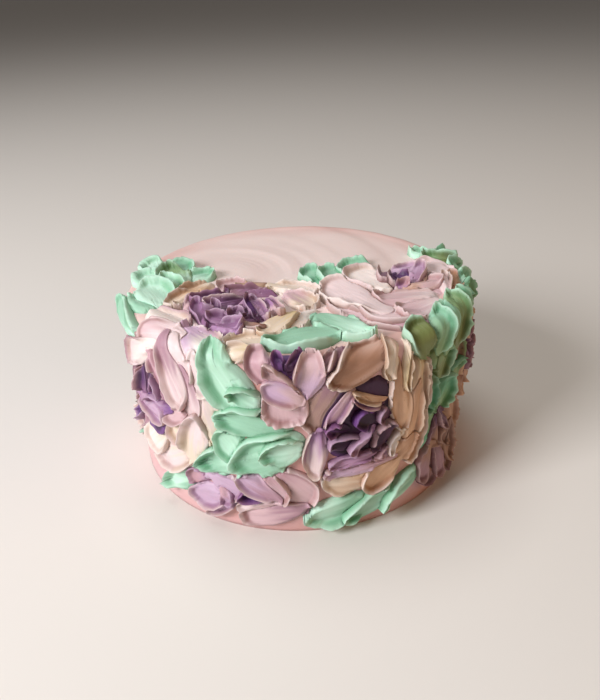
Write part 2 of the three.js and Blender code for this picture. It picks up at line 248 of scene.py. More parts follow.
def wrap(bench, x, y, lift):
    """A point of the wall bench or the top bench, on the cake."""
    if bench == "wall":
        return on_cake(x / CAKE_RADIUS, CAKE_HEIGHT - y, lift)
    return on_cake(np.arctan2(x, -y), np.hypot(x, y) - CAKE_RADIUS, lift)


def other_bench(bench, x, y):
    """The same place of the cake on the other bench."""
    if bench == "wall":
        reach = CAKE_RADIUS + CAKE_HEIGHT - y
        return reach * np.sin(x / CAKE_RADIUS), -reach * np.cos(x / CAKE_RADIUS)
    azimuth = np.arctan2(x, -y)
    return azimuth * CAKE_RADIUS, CAKE_HEIGHT + CAKE_RADIUS - np.hypot(x, y)


rim_corner = wrap("wall", np.zeros(1), np.full(1, CAKE_HEIGHT), np.zeros(1))
print("the rim's corner at the front is at", rim_corner.round(1))

# %% [markdown]
# Each press of the knife has its own character, kept as one set of numbers. The base is how thick
# the dab is in mm, the rise is how far its tip lifts, and the lip is how tall the lip stands. The
# root is how narrow its root is, as a share of its width. The slope outside the lip and the fall
# inside it are shares of the width too, and the point is how sharp the tip is. A stroke is one press
# with a root, a tip, a width, the side that its lip leans to, and paints for root, tip and lip.

# %% Knife presses and strokes
@dataclass
class Press:
    base: float
    rise: float
    lip: float
    root: float
    slope: float
    fall: float
    point: float = 0.0


OUTER = Press(2.0, 1.4, 2.6, 0.65, 0.035, 0.075)
BROAD = Press(2.2, 1.0, 2.4, 0.9, 0.035, 0.065)
FAN = Press(2.0, 1.4, 2.6, 0.65, 0.035, 0.075, 0.35)
MIDDLE = Press(3.0, 1.8, 2.8, 0.65, 0.04, 0.08)
HEART = Press(1.2, 1.8, 3.8, 0.7, 0.07, 0.12)
PAD = Press(1.0, 0.0, 0.3, 0.95, 0.05, 0.1)
LEAF = Press(2.4, 1.2, 4.2, 0.75, 0.04, 0.15, 0.5)
RUFFLE = Press(2.0, 2.0, 3.4, 0.75, 0.06, 0.13, 0.2)
BLADE = Press(4.0, 2.4, 2.6, 0.7, 0.08, 0.2, 0.4)


@dataclass
class Stroke:
    bench: str
    root_x: float
    root_y: float
    heading: float
    length: float
    width: float
    press: Press
    lean: float
    paints: list
    curve: float
    torn: float
    number: int


PER_DEGREE = math.radians(1) * CAKE_RADIUS
stroke_count = itertools.count(1)


def read_stroke(row, bench):
    """A row of a table as a stroke on its bench, in mm."""
    root_x, root_y, tip_x, tip_y, width, press, lean, paint, *more = row
    scale = PER_DEGREE if bench == "wall" else 1
    run, climb = (tip_x - root_x) * scale, tip_y - root_y
    curve, torn = more + [0] * (2 - len(more))
    return Stroke(
        bench, root_x * scale, root_y, math.atan2(climb, run), math.hypot(run, climb), width, press,
        math.radians(lean), paint.split(), curve, torn, next(stroke_count),
    )


print("one degree of the wall is", round(PER_DEGREE, 2), "mm")

# %% [markdown]
# The outline of a stroke is a squarish oval that narrows to the root and, on a leaf, to the tip.
# Written as a formula it can be read both ways: from a share and an angle to a point of the bench,
# for the mesh, and from a point back to its share, for the height of the cream there. The outline
# also wanders in and out at three paces, and a torn stroke wanders most at the quickest one.

# %% Outline of a stroke
FULLNESS = 0.9
OVAL_POWER = 2 / FULLNESS
WAVE = 0.045
WAVE_PACES = (0.9, 2.4, 6)
OFF_LATTICE = 9


def half_width(stroke, along):
    """Half the stroke's width at a share of its length."""
    taper = stroke.press.root + (1 - stroke.press.root) * smooth(along, 0, 0.7)
    sharpening = np.maximum(1 - along, 0.001) ** (stroke.press.point * 0.5)
    return 0.5 * stroke.width * taper * sharpening * (1 + 0.35 * stroke.press.point)


def outline_wave(stroke, angle):
    """How far the outline wanders in and out, as a share."""
    round_x, round_y = np.cos(angle), np.sin(angle)
    slow, middling, quick = [
        noise((pace * round_x + OFF_LATTICE, pace * round_y + OFF_LATTICE), stroke.number) - 0.5
        for pace in WAVE_PACES
    ]
    return 1 + WAVE * (4 * slow + 2 * middling + (0.35 + 1.3 * stroke.torn) * quick)


def signed_power(value, power):
    """A power that keeps the sign. With one under 1 it makes a circle squarish."""
    return np.sign(value) * np.abs(value) ** power


def stroke_point(stroke, share, angle):
    """A point in the stroke's own frame: x along it from the root, y across it."""
    reach = share * outline_wave(stroke, angle)
    centred = reach * signed_power(np.cos(angle), FULLNESS)
    along = 0.5 + 0.5 * centred
    across = reach * signed_power(np.sin(angle), FULLNESS) * half_width(stroke, along)
    return stroke.length * along, across + stroke.curve * (1 - centred ** 2)


def stroke_share(stroke, x, y):
    """The share (0 in the middle, 1 at the edge) and the angle from the tip of a point."""
    centred = 2 * x / stroke.length - 1
    along = np.clip(x / stroke.length, 0, 1)
    across = (y - stroke.curve * (1 - centred ** 2)) / half_width(stroke, along)
    share = (np.abs(centred) ** OVAL_POWER + np.abs(across) ** OVAL_POWER) ** (1 / OVAL_POWER)
    angle = np.arctan2(signed_power(across, 1 / FULLNESS), signed_power(centred, 1 / FULLNESS))
    return share / outline_wave(stroke, angle), angle


def edge_distance(stroke, x, y, share):
    """Millimetres from a point to the stroke's edge, by how fast the share grows there."""
    step = 0.05
    right, _ = stroke_share(stroke, x + step, y)
    ahead, _ = stroke_share(stroke, x, y + step)
    steepness = np.hypot(right - share, ahead - share) / step
    return (1 - share) / np.maximum(steepness, 1e-4)


trial_leaf = Stroke("wall", 0, 0, 0, 30, 14, LEAF, 0, [], 0, 0, 0)
print("a 14 mm leaf is", (2 * half_width(trial_leaf, np.array([0.1, 0.5, 0.9]))).round(1), "mm wide")

# %% [markdown]
# Cream dragged by a knife carries marks of several sizes: long drag lines, shallow dents, a lip that
# swells and thins, and streaks of half-mixed colour. Each is soft noise with its own length along
# the stroke, width across it, both in mm, and seed. The stroke's number is added to the seed, so
# that no two strokes are alike.

# %% Marks of the knife
MARKS = {
    "streak": (12, 1.1, 50), "patch": (8, 5, 80), "sheen": (14, 0.9, 110),
    "swelling": (6, 6, 300), "nibble": (2.6, 2.6, 600), "drag line": (11, 0.9, 900),
    "dent": (7, 5, 1200), "crumb": (1.2, 1.2, 1500),
}


def mark(stroke, kind, x, y):
    """Noise from 0 to 1 for one kind of mark on one stroke."""
    long, wide, seed = MARKS[kind]
    return noise((x / long, y / wide), stroke.number + seed)


print("marks:", ", ".join(MARKS))

# %% [markdown]
# The face of a stroke is what makes it read as buttercream. The blade is pressed in beside the lip,
# so the face is deepest there, and the cream that it pushes out stands as a lip: a steep wall on the
# blade's side, a thin crest, and a short slope outside. Away from the lip the face rises and thins
# out over what lies below. The height is a formula of the place, with the bed that it is laid on.

# %% Height of a stroke
SKIN = 0.35
THIN_EDGE = 0.12
HIGHEST = 7.0
FEATHER = 2.8
DRAG_DEPTH = 0.06
DENT_DEPTH = 0.35
CREST_NEAREST = 0.4
CREST_FARTHEST = 1.6
LEAST_FALL = 0.35
LEAST_LIP = 0.12
ROOT_LIP = 0.25
INSIDE_CURVE = 1.2
OUTSIDE_CURVE = 0.75
FIRMNESS = 1.6
FOOT_SHADOW_SPREAD = 0.25
PAINTED_GROOVE_SHADE = 0.9


def soft_max(a, b, blend=0.4):
    """The larger of two heights, with a rounded change from one to the other."""
    top = np.maximum(a, b)
    return top + blend * np.log1p(np.exp(-np.abs(a - b) / blend))


def crest_place(stroke):
    """How far inside the edge the lip's crest stands, in mm."""
    return np.clip(stroke.press.slope * stroke.width, CREST_NEAREST, CREST_FARTHEST)


def lip_strength(stroke, angle, along, x, y):
    """How much of its full height the lip has at each place round the stroke."""
    facing = 0.5 + 0.5 * np.cos(angle - stroke.lean)
    turned = LEAST_LIP + (1 - LEAST_LIP) * smooth(facing, 0.25, 0.75)
    root_fade = ROOT_LIP + (1 - ROOT_LIP) * smooth(along, 0.0, 0.3)
    swelling = mark(stroke, "swelling", x, y)
    nibble = mark(stroke, "nibble", x, y) - 0.5
    return turned * root_fade * (0.62 + 0.6 * swelling + 0.25 * nibble)


def face_height(stroke, x, y, toward_lip, along, bed_smooth):
    """Height of the pressed face: it lifts to the tip, and is deepest towards the lip."""
    press = stroke.press
    groove = (0.55 * press.base + 0.6 * press.rise) * smooth(toward_lip, -0.5, 0.95)
    face = soft_max(press.base + press.rise * along - groove, bed_smooth + SKIN)
    drag = mark(stroke, "drag line", x, y) - 0.5
    dents = mark(stroke, "dent", x, y) - 0.5
    return face + DRAG_DEPTH * drag + DENT_DEPTH * dents


def lip_height(stroke, x, y, inside, strength):
    """Height of the lip over the face, full at the crest and gone where the fall ends."""
    ragged = 1 + (0.15 + stroke.torn) * (1.2 * mark(stroke, "crumb", x, y) - 0.7)
    return stroke.press.lip * strength * ragged * (1 - inside) ** INSIDE_CURVE


def stroke_height(stroke, x, y, bed_smooth, bed_now):
    """Lift of the stroke's upper side off the coat in mm, its mask of the paler lip with its painted
    highlight, and its mask of painted shade.
    """
    share, angle = stroke_share(stroke, x, y)
    gap = edge_distance(stroke, x, y, share)
    along = np.clip(x / stroke.length, 0, 1)
    strength = lip_strength(stroke, angle, along, x, y)
    face = face_height(stroke, x, y, share * np.cos(angle - stroke.lean), along, bed_smooth)
    crest = crest_place(stroke)
    fall = stroke.press.fall * stroke.width + LEAST_FALL
    lip = lip_height(stroke, x, y, np.clip((gap - crest) / fall, 0, 1), strength)
    outside = np.clip(gap / crest, 0, 1) ** OUTSIDE_CURVE
    feather = smooth(gap, -0.2, FEATHER)
    firm = np.clip(FIRMNESS * strength, 0, 1)
    grow = outside * firm + feather * (1 - firm)
    height = bed_now + THIN_EDGE + (face + lip - bed_now - THIN_EDGE) * grow
    height = np.where(height > HIGHEST, HIGHEST + 0.5 * (height - HIGHEST), height)
    # The lip mask marks paler cream on the lip, partly a painted highlight.
    lip_reach = np.where(gap < crest, crest + 0.25, 0.35 * crest + 0.3)
    lip_mask = hump(gap - crest, lip_reach) * strength
    # Painted shade: a dark line at the foot of the lip's wall and a dark band in the groove inside the
    # lip.
    foot = hump(gap, FOOT_SHADOW_SPREAD) * firm
    groove_shade = hump(gap - crest - 0.6 * fall, 0.42 * fall + 0.15) * strength
    return height, lip_mask, np.clip(foot + PAINTED_GROOVE_SHADE * groove_shade, 0, 1)


trial_x = np.array([5.0, 15.0, 25.0])
trial_height, _, _ = stroke_height(trial_leaf, trial_x, 0 * trial_x, 0 * trial_x, 0 * trial_x)
print("along its middle the leaf stands", trial_height.round(1), "mm high")

# %% [markdown]
# A stroke needs to know what it is laid on. Two bench maps keep the height of the cream so far, one
# for the wall and one for the top, as square cells. Each new stroke reads them, levelled as a soft
# stroke would level what it is pressed on.

# %% Bench maps of what is already laid
CELL = 0.5
RIM_MARGIN = 16
WALL_FROM, WALL_TO = math.radians(-130), math.radians(290)
BELOW_FOOT = 2.0
LEVELLING_CELLS = 12
LEVELLING_SPREAD = 5.0
TOP_REACH = CAKE_RADIUS + RIM_MARGIN
MAP_SPAN = {
    "wall": (WALL_FROM * CAKE_RADIUS, WALL_TO * CAKE_RADIUS, -BELOW_FOOT, CAKE_HEIGHT + RIM_MARGIN),
    "top": (-TOP_REACH, TOP_REACH, -TOP_REACH, TOP_REACH),
}
bench_map = {
    bench: np.zeros((math.ceil((x1 - x0) / CELL), math.ceil((y1 - y0) / CELL)))
    for bench, (x0, x1, y0, y1) in MAP_SPAN.items()
}
offsets = np.arange(-LEVELLING_CELLS, LEVELLING_CELLS + 1)
LEVELLING = np.exp(-0.5 * (offsets / LEVELLING_SPREAD) ** 2)
LEVELLING /= LEVELLING.sum()


def window_of(bench, x, y, margin):
    """The rows and columns of the map that hold these bench points, with a margin in mm."""
    x0, _, y0, _ = MAP_SPAN[bench]
    rows, columns = bench_map[bench].shape
    i0, i1 = (x.min() - margin - x0) / CELL, (x.max() + margin - x0) / CELL
    j0, j1 = (y.min() - margin - y0) / CELL, (y.max() + margin - y0) / CELL
    i0, i1 = np.clip([math.floor(i0), math.ceil(i1)], 0, rows)
    j0, j1 = np.clip([math.floor(j0), math.ceil(j1)], 0, columns)
    return int(i0), int(i1), int(j0), int(j1)


def beds_in(bench, window):
    """The heights in a window of the map, levelled by a soft stroke and as they are."""
    i0, i1, j0, j1 = window
    bed = bench_map[bench][i0:i1, j0:j1].copy()
    level = bed
    for axis in (0, 1):
        padding = [(LEVELLING_CELLS, LEVELLING_CELLS) if a == axis else (0, 0) for a in (0, 1)]
        padded = np.pad(level, padding, mode="edge")
        size = level.shape[axis]
        level = sum(np.take(padded, range(k, k + size), axis) * w for k, w in enumerate(LEVELLING))
    return level, bed


def place_in(bench, window, x, y):
    """Bench points as rows and columns of a window, with the part of a cell."""
    x0, _, y0, _ = MAP_SPAN[bench]
    i0, _, j0, _ = window
    return (x - x0) / CELL - 0.5 - i0, (y - y0) / CELL - 0.5 - j0


def sample(cells, i, j):
    """Heights between the cells, blended from the four nearest."""
    i = np.clip(i, 0, cells.shape[0] - 1.001)
    j = np.clip(j, 0, cells.shape[1] - 1.001)
    a, b = np.floor(i).astype(int), np.floor(j).astype(int)
    u, v = i - a, j - b
    near = cells[a, b] * (1 - v) + cells[a, b + 1] * v
    far = cells[a + 1, b] * (1 - v) + cells[a + 1, b + 1] * v
    return near * (1 - u) + far * u


for bench, cells in bench_map.items():
    print("map of the", bench, cells.shape, "cells")

# %% [markdown]
# After a stroke is laid it writes its own height to the map of its bench. Near the rim both benches
# show the same cream, so there it writes to the other map too. A list of all that was written is
# kept for a later step, in which covered cream is pressed down.

# %% Write a stroke to the maps
JUST_OUTSIDE = 1.02
OVER_RIM_MARGIN = 3
laid_over = []


def to_stroke(stroke, bench_x, bench_y):
    """Bench points in the stroke's own frame."""
    dx, dy = bench_x - stroke.root_x, bench_y - stroke.root_y
    cos, sin = math.cos(stroke.heading), math.sin(stroke.heading)
    return dx * cos + dy * sin, dy * cos - dx * sin


def to_bench(stroke, x, y):
    """Points of the stroke's own frame on the bench."""
    cos, sin = math.cos(stroke.heading), math.sin(stroke.heading)
    return stroke.root_x + x * cos - y * sin, stroke.root_y + x * sin + y * cos


def write_to_map(stroke, bench, window, bed_smooth, bed):
    """Raises the cells of one bench under the stroke to the stroke's upper side."""
    i0, i1, j0, j1 = window
    x0, _, y0, _ = MAP_SPAN[bench]
    across = x0 + CELL * (np.arange(i0, i1) + 0.5)
    up = y0 + CELL * (np.arange(j0, j1) + 0.5)
    cell_x, cell_y = np.meshgrid(across, up, indexing="ij")
    if bench != stroke.bench:
        cell_x, cell_y = other_bench(bench, cell_x, cell_y)
    x, y = to_stroke(stroke, cell_x, cell_y)
    share, _ = stroke_share(stroke, x, y)
    height, _, _ = stroke_height(stroke, x, y, bed_smooth, bed)
    covered = np.where(share < JUST_OUTSIDE, height, np.inf)
    for axis in (0, 1):
        beside = np.minimum(np.roll(covered, 1, axis), np.roll(covered, -1, axis))
        covered = np.minimum(covered, beside)
    laid_over.append((stroke.number, bench, window, covered))
    bench_map[bench][i0:i1, j0:j1] = np.where(share < 1, height, bed)


def crosses_rim(stroke, edge):
    """Whether the outline comes near the rim, where both benches show it."""
    if stroke.bench == "wall":
        return edge[1].max() > CAKE_HEIGHT - RIM_MARGIN
    return np.hypot(*edge).max() > CAKE_RADIUS - RIM_MARGIN


def write_over_rim(stroke):
    """Where the stroke comes near the rim, writes it to the bench that it wasn't laid on, too."""
    edge = to_bench(stroke, *stroke_point(stroke, 1.0, np.linspace(0, 2 * math.pi, 60)))
    if not crosses_rim(stroke, edge):
        return
    bench = "top" if stroke.bench == "wall" else "wall"
    window = window_of(bench, *other_bench(stroke.bench, *edge), OVER_RIM_MARGIN)
    i0, i1, j0, j1 = window
    if i1 > i0 and j1 > j0:
        write_to_map(stroke, bench, window, *beds_in(bench, window))


print("within", RIM_MARGIN, "mm of the rim a stroke is written to both maps")

# %% [markdown]
# The bench dab is one scoop of cream: a ball from Blender's add menu. It is modelled once in three
# finenesses. A stroke copies it and spreads the copy out: the rings near the top become the face,
# close together by the lip where the shape turns fast, the next ones the side, and the last ones
# the foot, which is hidden in what carries it.

# %% The bench dab
EDGE_STEPS = [0.0, 0.35, 0.7, 1.0, 1.3, 1.7, 2.2, 2.8, 3.6, 4.6]
EDGE_SHARES = [0.0, 0.06, 0.12, 0.18, 0.23, 0.29, 0.36, 0.44, 0.52, 0.62]
SIDE_STEPS = [(0.5, 0.3), (0.0, 0.5)]
FACE_RINGS = {"small": 6, "middle": 9, "large": 13}
SEGMENTS = {"small": 64, "middle": 104, "large": 152}
bench_dabs = {}


def points_of(piece):
    """The points of a piece, as rows of x, y and z."""
    co = np.zeros(len(piece.data.vertices) * 3)
    piece.data.vertices.foreach_get("co", co)
    return co.reshape(-1, 3)


def add_bench_dab(size):
    """A ball of cream with as many rings as the ladder of a stroke needs."""
    rings = FACE_RINGS[size] + len(EDGE_STEPS) + len(SIDE_STEPS) + 1
    bpy.ops.object.select_all(action="DESELECT")
    bpy.ops.mesh.primitive_uv_sphere_add(segments=SEGMENTS[size], ring_count=rings, radius=1)
    ball = bpy.context.object
    ball.name = "bench_dab_" + size
    bpy.ops.object.shade_smooth()
    co = points_of(ball)
    ring = np.rint(np.arccos(np.clip(co[:, 2], -1, 1)) * rings / math.pi).astype(int)
    angle = np.arctan2(co[:, 1], co[:, 0])
    bench_dabs[size] = (ball, ring, angle, rings)
    print(ball.name, len(ball.data.vertices), "points")


for size in SEGMENTS:
    add_bench_dab(size)

# %% [markdown]
# Two creams that were never fully mixed leave the knife in streaks, and the lip is painted paler:
# partly paler cream, partly a painted highlight. The crevices get painted shade: there the colour
# is made deeper and stronger, warm, violet or green by the cream, not greyer. Each point therefore
# gets its own paint, worked out from where it lies in the stroke. It is kept on the mesh, so no
# picture is needed.

# %% Paint of a stroke
STREAKS = 0.45
PATCHES = 0.35
SHEEN = 0.06
PALE_LIP_AND_HIGHLIGHT = 0.85
CREVICE_SHADE_STRENGTH = 0.85
CREVICE_SHADE_POWER = 1.4
WARM_PAINTED_SHADE = np.array([0.59, 0.49, 0.43])
VIOLET_PAINTED_SHADE = np.array([0.60, 0.44, 0.62])
GREEN_PAINTED_SHADE = np.array([0.38, 0.70, 0.54])


def painted_crevice_shade(colour):
    """The painted shade of a cream in a crevice: deeper, and tinted by how violet or green the cream is.
    """
    violet = np.clip(1.6 * (1 - colour[:, 1] / colour[:, 2]), 0, 1)[:, None]
    green = np.clip(2 * (1 - colour[:, 0] / colour[:, 1]), 0, 1)[:, None]
    shade = WARM_PAINTED_SHADE * (1 - violet - green) + VIOLET_PAINTED_SHADE * violet + GREEN_PAINTED_SHADE * green
    return colour ** CREVICE_SHADE_POWER * shade


def stroke_colours(stroke, x, y, lip, crevice):
    """Two dragged shades, a paler lip with a painted highlight, and painted shade in its crevices, for
    each point.
    """
    root, tip, edge = (linear(shade) for shade in stroke.paints)
    along = np.clip(x / stroke.length, 0, 1)
    streak = mark(stroke, "streak", x, y) - 0.5
    patch = mark(stroke, "patch", x, y) - 0.5
    mix = smooth(along + STREAKS * streak + PATCHES * patch, 0.15, 0.85)[:, None]
    colour = root * (1 - mix) + tip * mix
    # The lip is painted paler: partly paler cream, partly a painted highlight on the crest.
    pale_lip_and_highlight = np.clip(lip * 1.3, 0, 1)[:, None] * PALE_LIP_AND_HIGHLIGHT
    colour = colour * (1 - pale_lip_and_highlight) + edge * pale_lip_and_highlight
    # Painted shade: the colour is deepened where the crevice mask marks a groove or the foot of a lip.
    deep = crevice[:, None] * CREVICE_SHADE_STRENGTH
    colour = colour * (1 - deep) + painted_crevice_shade(colour) * deep
    return colour * (0.97 + SHEEN * mark(stroke, "sheen", x, y))[:, None]


print("paint in a crevice of mint:", painted_crevice_shade(linear("mint")[None]).round(2))

# %% [markdown]
# Laying a stroke brings it together: the rings are spread to shares of the outline, the height is
# read for each point, the lip is pushed out a little over its side, and the points are wrapped on
# the cake. Each point also keeps its paint and its place along the stroke, for the material.

# %% Lay one stroke
SINK = 1.5
FLOOR_GAP = 0.4
OVERHANG = 0.9
MOST_OVERHANG = 0.06
NEAR_EDGE = 0.985
BED_MARGIN = 6
SMALL_STROKE = 60
LARGE_STROKE = 105
DRAG_SCALE = 0.1
DRAG_APART = 7.3
FIELDS = {"FLOAT": "value", "FLOAT_VECTOR": "vector", "FLOAT_COLOR": "color"}


def ring_shares(stroke, ring, angle, size):
    """Each point's share of the outline, the part of its side's height, its inset and the spread."""
    edge_x, edge_y = stroke_point(stroke, NEAR_EDGE, angle)
    near_share, _ = stroke_share(stroke, edge_x, edge_y)
    spread = edge_distance(stroke, edge_x, edge_y, near_share) / (1 - near_share)
    face = FACE_RINGS[size]
    steps = len(EDGE_STEPS)
    crest = crest_place(stroke)
    inner = 1 - np.minimum(EDGE_STEPS[-1] * crest / spread, EDGE_SHARES[-1])
    share = np.where(ring <= face, ring / (face + 1) * inner, 1.0)
    for k in range(steps):
        inset = np.minimum(EDGE_STEPS[k] * crest / spread, EDGE_SHARES[k])
        share = np.where(ring == face + steps - k, 1 - inset, share)
    side = np.ones(len(ring))
    inset = np.zeros(len(ring))
    for k, (part, pull) in enumerate(SIDE_STEPS):
        on_ring = ring >= face + steps + 1 + k
        side = np.where(on_ring, part, side)
        inset = np.where(on_ring, pull, inset)
    return share, side, inset / spread, spread


def settle(bench, x, y, lift):
    """Bench points wrapped on the cake, and kept just off the floor."""
    points = wrap(bench, x, y, lift)
    points[:, 2] = np.maximum(points[:, 2], FLOOR_GAP)
    return points


def keep_on_points(piece, label, kind, values):
    """Stores a value, vector or colour for each point of the mesh."""
    store = piece.data.attributes.new(label, kind, "POINT")
    store.data.foreach_set(FIELDS[kind], values.ravel())


def keep_paint(piece, colour, drag):
    """Stores what the material reads: each point's paint, and its place along the knife's drag."""
    keep_on_points(piece, "paint", "FLOAT_COLOR", np.column_stack([colour, np.ones(len(colour))]))
    keep_on_points(piece, "drag", "FLOAT_VECTOR", np.stack(drag, -1) * DRAG_SCALE)


def lay(stroke):
    """Copies the bench dab, shapes the copy as this stroke, and writes it to the bench maps."""
    girth = 2 * (stroke.length + stroke.width)
    size = "small" if girth < SMALL_STROKE else "middle" if girth < LARGE_STROKE else "large"
    ball, ring, angle, rings = bench_dabs[size]
    share, side, inset, spread = ring_shares(stroke, ring, angle, size)
    x, y = stroke_point(stroke, share, angle)
    bench_x, bench_y = to_bench(stroke, x, y)
    window = window_of(stroke.bench, bench_x, bench_y, BED_MARGIN)
    beds = beds_in(stroke.bench, window)
    place = place_in(stroke.bench, window, bench_x, bench_y)
    height, lip, crevice = stroke_height(stroke, x, y, *[sample(bed, *place) for bed in beds])

    foot = ring == rings
    lift = np.where(side < 1, -SINK + side * (height + SINK), height)
    lift = np.where(foot, -SINK, lift)
    overhang = OVERHANG * lip * np.where(side < 1, side ** 2, 1) / spread
    push = 1 + np.minimum(overhang, MOST_OVERHANG) - inset
    placed = to_bench(stroke, *stroke_point(stroke, np.where(foot, 0, share * push), angle))

    dab = ball.copy()
    dab.data = ball.data.copy()
    bpy.context.collection.objects.link(dab)
    dab.data.vertices.foreach_set("co", (settle(stroke.bench, *placed, lift) * MM).ravel())
    number = np.full(len(x), float(stroke.number))
    keep_paint(dab, stroke_colours(stroke, x, y, lip, crevice), [x, y, number * DRAG_APART])
    keep_on_points(dab, "bench_place", "FLOAT_VECTOR", np.stack([*placed, lift], -1))
    keep_on_points(dab, "stroke_number", "FLOAT", number)
    dab.data.update()
    write_to_map(stroke, stroke.bench, window, *beds)
    write_over_rim(stroke)
    return dab


print("a stroke's foot is sunk", SINK, "mm into what carries it")

# %% [markdown]
# Materials are trees of nodes. A few short helpers keep them readable: one adds a node with its
# inputs set or linked by name, and the others add the kinds that the cream needs again and again.

# %% Nodes by name
def connect(tree, node, given):
    """Links each named input of a node to a socket, or sets it to a value."""
    for label, source in given.items():
        if isinstance(source, bpy.types.NodeSocket):
            tree.links.new(source, node.inputs[label])
        else:
            node.inputs[label].default_value = source


def add_node(tree, kind, given, **settings):
    """A new node with its settings and its inputs."""
    node = tree.nodes.new(kind)
    for key, value in settings.items():
        setattr(node, key, value)
    connect(tree, node, given)
    return node


def maths(tree, operation, first, second):
    """The value of two inputs added, subtracted or multiplied."""
    node = add_node(tree, "ShaderNodeMath", {0: first, 1: second}, operation=operation)
    return node.outputs["Value"]


def clouds(tree, place, scale, detail, roughness=0.5):
    """Soft cloudy noise at a place."""
    node = add_node(tree, "ShaderNodeTexNoise", {
        "Vector": place, "Scale": scale, "Detail": detail, "Roughness": roughness})
    return node.outputs["Fac"]


def along_knife(tree, place, fineness):
    """Places squeezed across the drag of the knife, on which clouds become lines."""
    node = add_node(tree, "ShaderNodeMapping", {"Vector": place, "Scale": (0.4, fineness, 1)})
    return node.outputs["Vector"]


def ramp(tree, value, start, end, low=0.0, high=1.0):
    """From low to high while the value goes from start to end."""
    node = add_node(tree, "ShaderNodeMapRange", {
        "Value": value, "From Min": start, "From Max": end, "To Min": low, "To Max": high})
    return node.outputs["Result"]


def new_group(name, inputs, outputs):
    """A shader node group with named sockets, each (name, type, default)."""
    group = bpy.data.node_groups.new(name, "ShaderNodeTree")
    for label, kind, default in inputs:
        socket = group.interface.new_socket(label, in_out="INPUT", socket_type=kind)
        if default is not None:
            socket.default_value = default
    for label, kind in outputs:
        group.interface.new_socket(label, in_out="OUTPUT", socket_type=kind)
    return group, group.nodes.new("NodeGroupInput"), group.nodes.new("NodeGroupOutput")


print("helpers ready, Blender", bpy.app.version_string)

# %% [markdown]
# Two effects are shared by all the cream, so they are node groups. The first makes its fine relief:
# drag lines along each stroke, a soft grain, and the small pits that air leaves. Pits come in
# patches, so the cells that make them are kept only where a slow cloud is thick.

# %% Fine relief of the cream
def knife_relief_group():
    """Height from drag lines, grain and air pits."""
    group, given, result = new_group(
        "Knife relief",
        [("Place", "NodeSocketVector", None), ("Spot", "NodeSocketVector", None),
         ("Lines", "NodeSocketFloat", 0.5), ("Grain", "NodeSocketFloat", 0.3),
         ("Pits", "NodeSocketFloat", 0.6)],
        [("Height", "NodeSocketFloat"), ("Mask", "NodeSocketFloat")],
    )
    place, spot = given.outputs["Place"], given.outputs["Spot"]
    lines = clouds(group, along_knife(group, place, 5), 1.6, 5.0, 0.65)
    grain = clouds(group, spot, 1400.0, 3.0, 0.6)
    cells = add_node(group, "ShaderNodeTexVoronoi", {"Vector": spot, "Scale": 420.0, "Randomness": 1.0})
    pit = ramp(group, cells.outputs["Distance"], 0.10, 0.24, 1.0, 0.0)
    pitted = maths(group, "MULTIPLY", pit, ramp(group, clouds(group, spot, 90.0, 2.0), 0.55, 0.68))
    raised = maths(
        group, "ADD",
        maths(group, "MULTIPLY", lines, given.outputs["Lines"]),
        maths(group, "MULTIPLY", grain, given.outputs["Grain"]),
    )
    sunk = maths(group, "MULTIPLY", pitted, given.outputs["Pits"])
    group.links.new(maths(group, "SUBTRACT", raised, sunk), result.inputs["Height"])
    group.links.new(lines, result.inputs["Mask"])
    return group


knife_relief = knife_relief_group()
print(knife_relief.name, len(knife_relief.nodes), "nodes")

# %% [markdown]
# The second effect varies the colour a little, as half-mixed dye does: fine streaks along the drag
# and slow clouds make the paint lighter and darker, and leave its hue alone.

# %% Half-mixed dye
def half_mixed_group():
    """The paint, a little lighter and darker in streaks and clouds."""
    group, given, result = new_group(
        "Half-mixed dye",
        [("Paint", "NodeSocketColor", None), ("Place", "NodeSocketVector", None),
         ("Spot", "NodeSocketVector", None), ("Amount", "NodeSocketFloat", 0.1)],
        [("Color", "NodeSocketColor")],
    )
    streaks = clouds(group, along_knife(group, given.outputs["Place"], 6), 1.3, 4.0, 0.65)
    both = maths(group, "ADD", streaks, clouds(group, given.outputs["Spot"], 60.0, 3.0))
    shift = maths(group, "MULTIPLY", ramp(group, both, 0.6, 1.4, -1.0, 1.0), given.outputs["Amount"])
    value = maths(group, "ADD", shift, 1.0)
    tint = add_node(group, "ShaderNodeHueSaturation", {"Color": given.outputs["Paint"], "Value": value})
    group.links.new(tint.outputs["Color"], result.inputs["Color"])
    return group


half_mixed = half_mixed_group()
print(half_mixed.name, len(half_mixed.nodes), "nodes")

# %% [markdown]
# Buttercream is fat and sugar: a satin skin, neither wet nor chalky, that lets a little light in.
# Each finish is a Principled shader with weak, short scattering under the surface. The table gives,
# for each tone, its roughness, the strength of its drag lines, grain and pits, and how uneven its
# colour is.

# %% Buttercream finishes
FINISHES = {
    "coat": (0.46, 0.15, 0.12, 0.1, 0.03),
    "mint": (0.42, 0.45, 0.2, 0.6, 0.08),
    "beige": (0.44, 0.45, 0.2, 0.7, 0.09),
    "blush": (0.44, 0.45, 0.2, 0.6, 0.08),
    "dusty": (0.44, 0.45, 0.2, 0.6, 0.08),
    "lilac": (0.44, 0.45, 0.2, 0.6, 0.08),
    "plum": (0.42, 0.45, 0.2, 0.6, 0.1),
    "mauve": (0.44, 0.8, 0.25, 0.7, 0.12),
}
CREAM_SKIN = {
    "Subsurface Weight": 0.12,
    "Subsurface Radius": (1.0, 0.7, 0.55),
    "Subsurface Scale": 1.6 * MM,
    "Specular IOR Level": 0.38,
}
SMOOTHER_LINES = 0.08
ROUGHER_LINES = 0.1


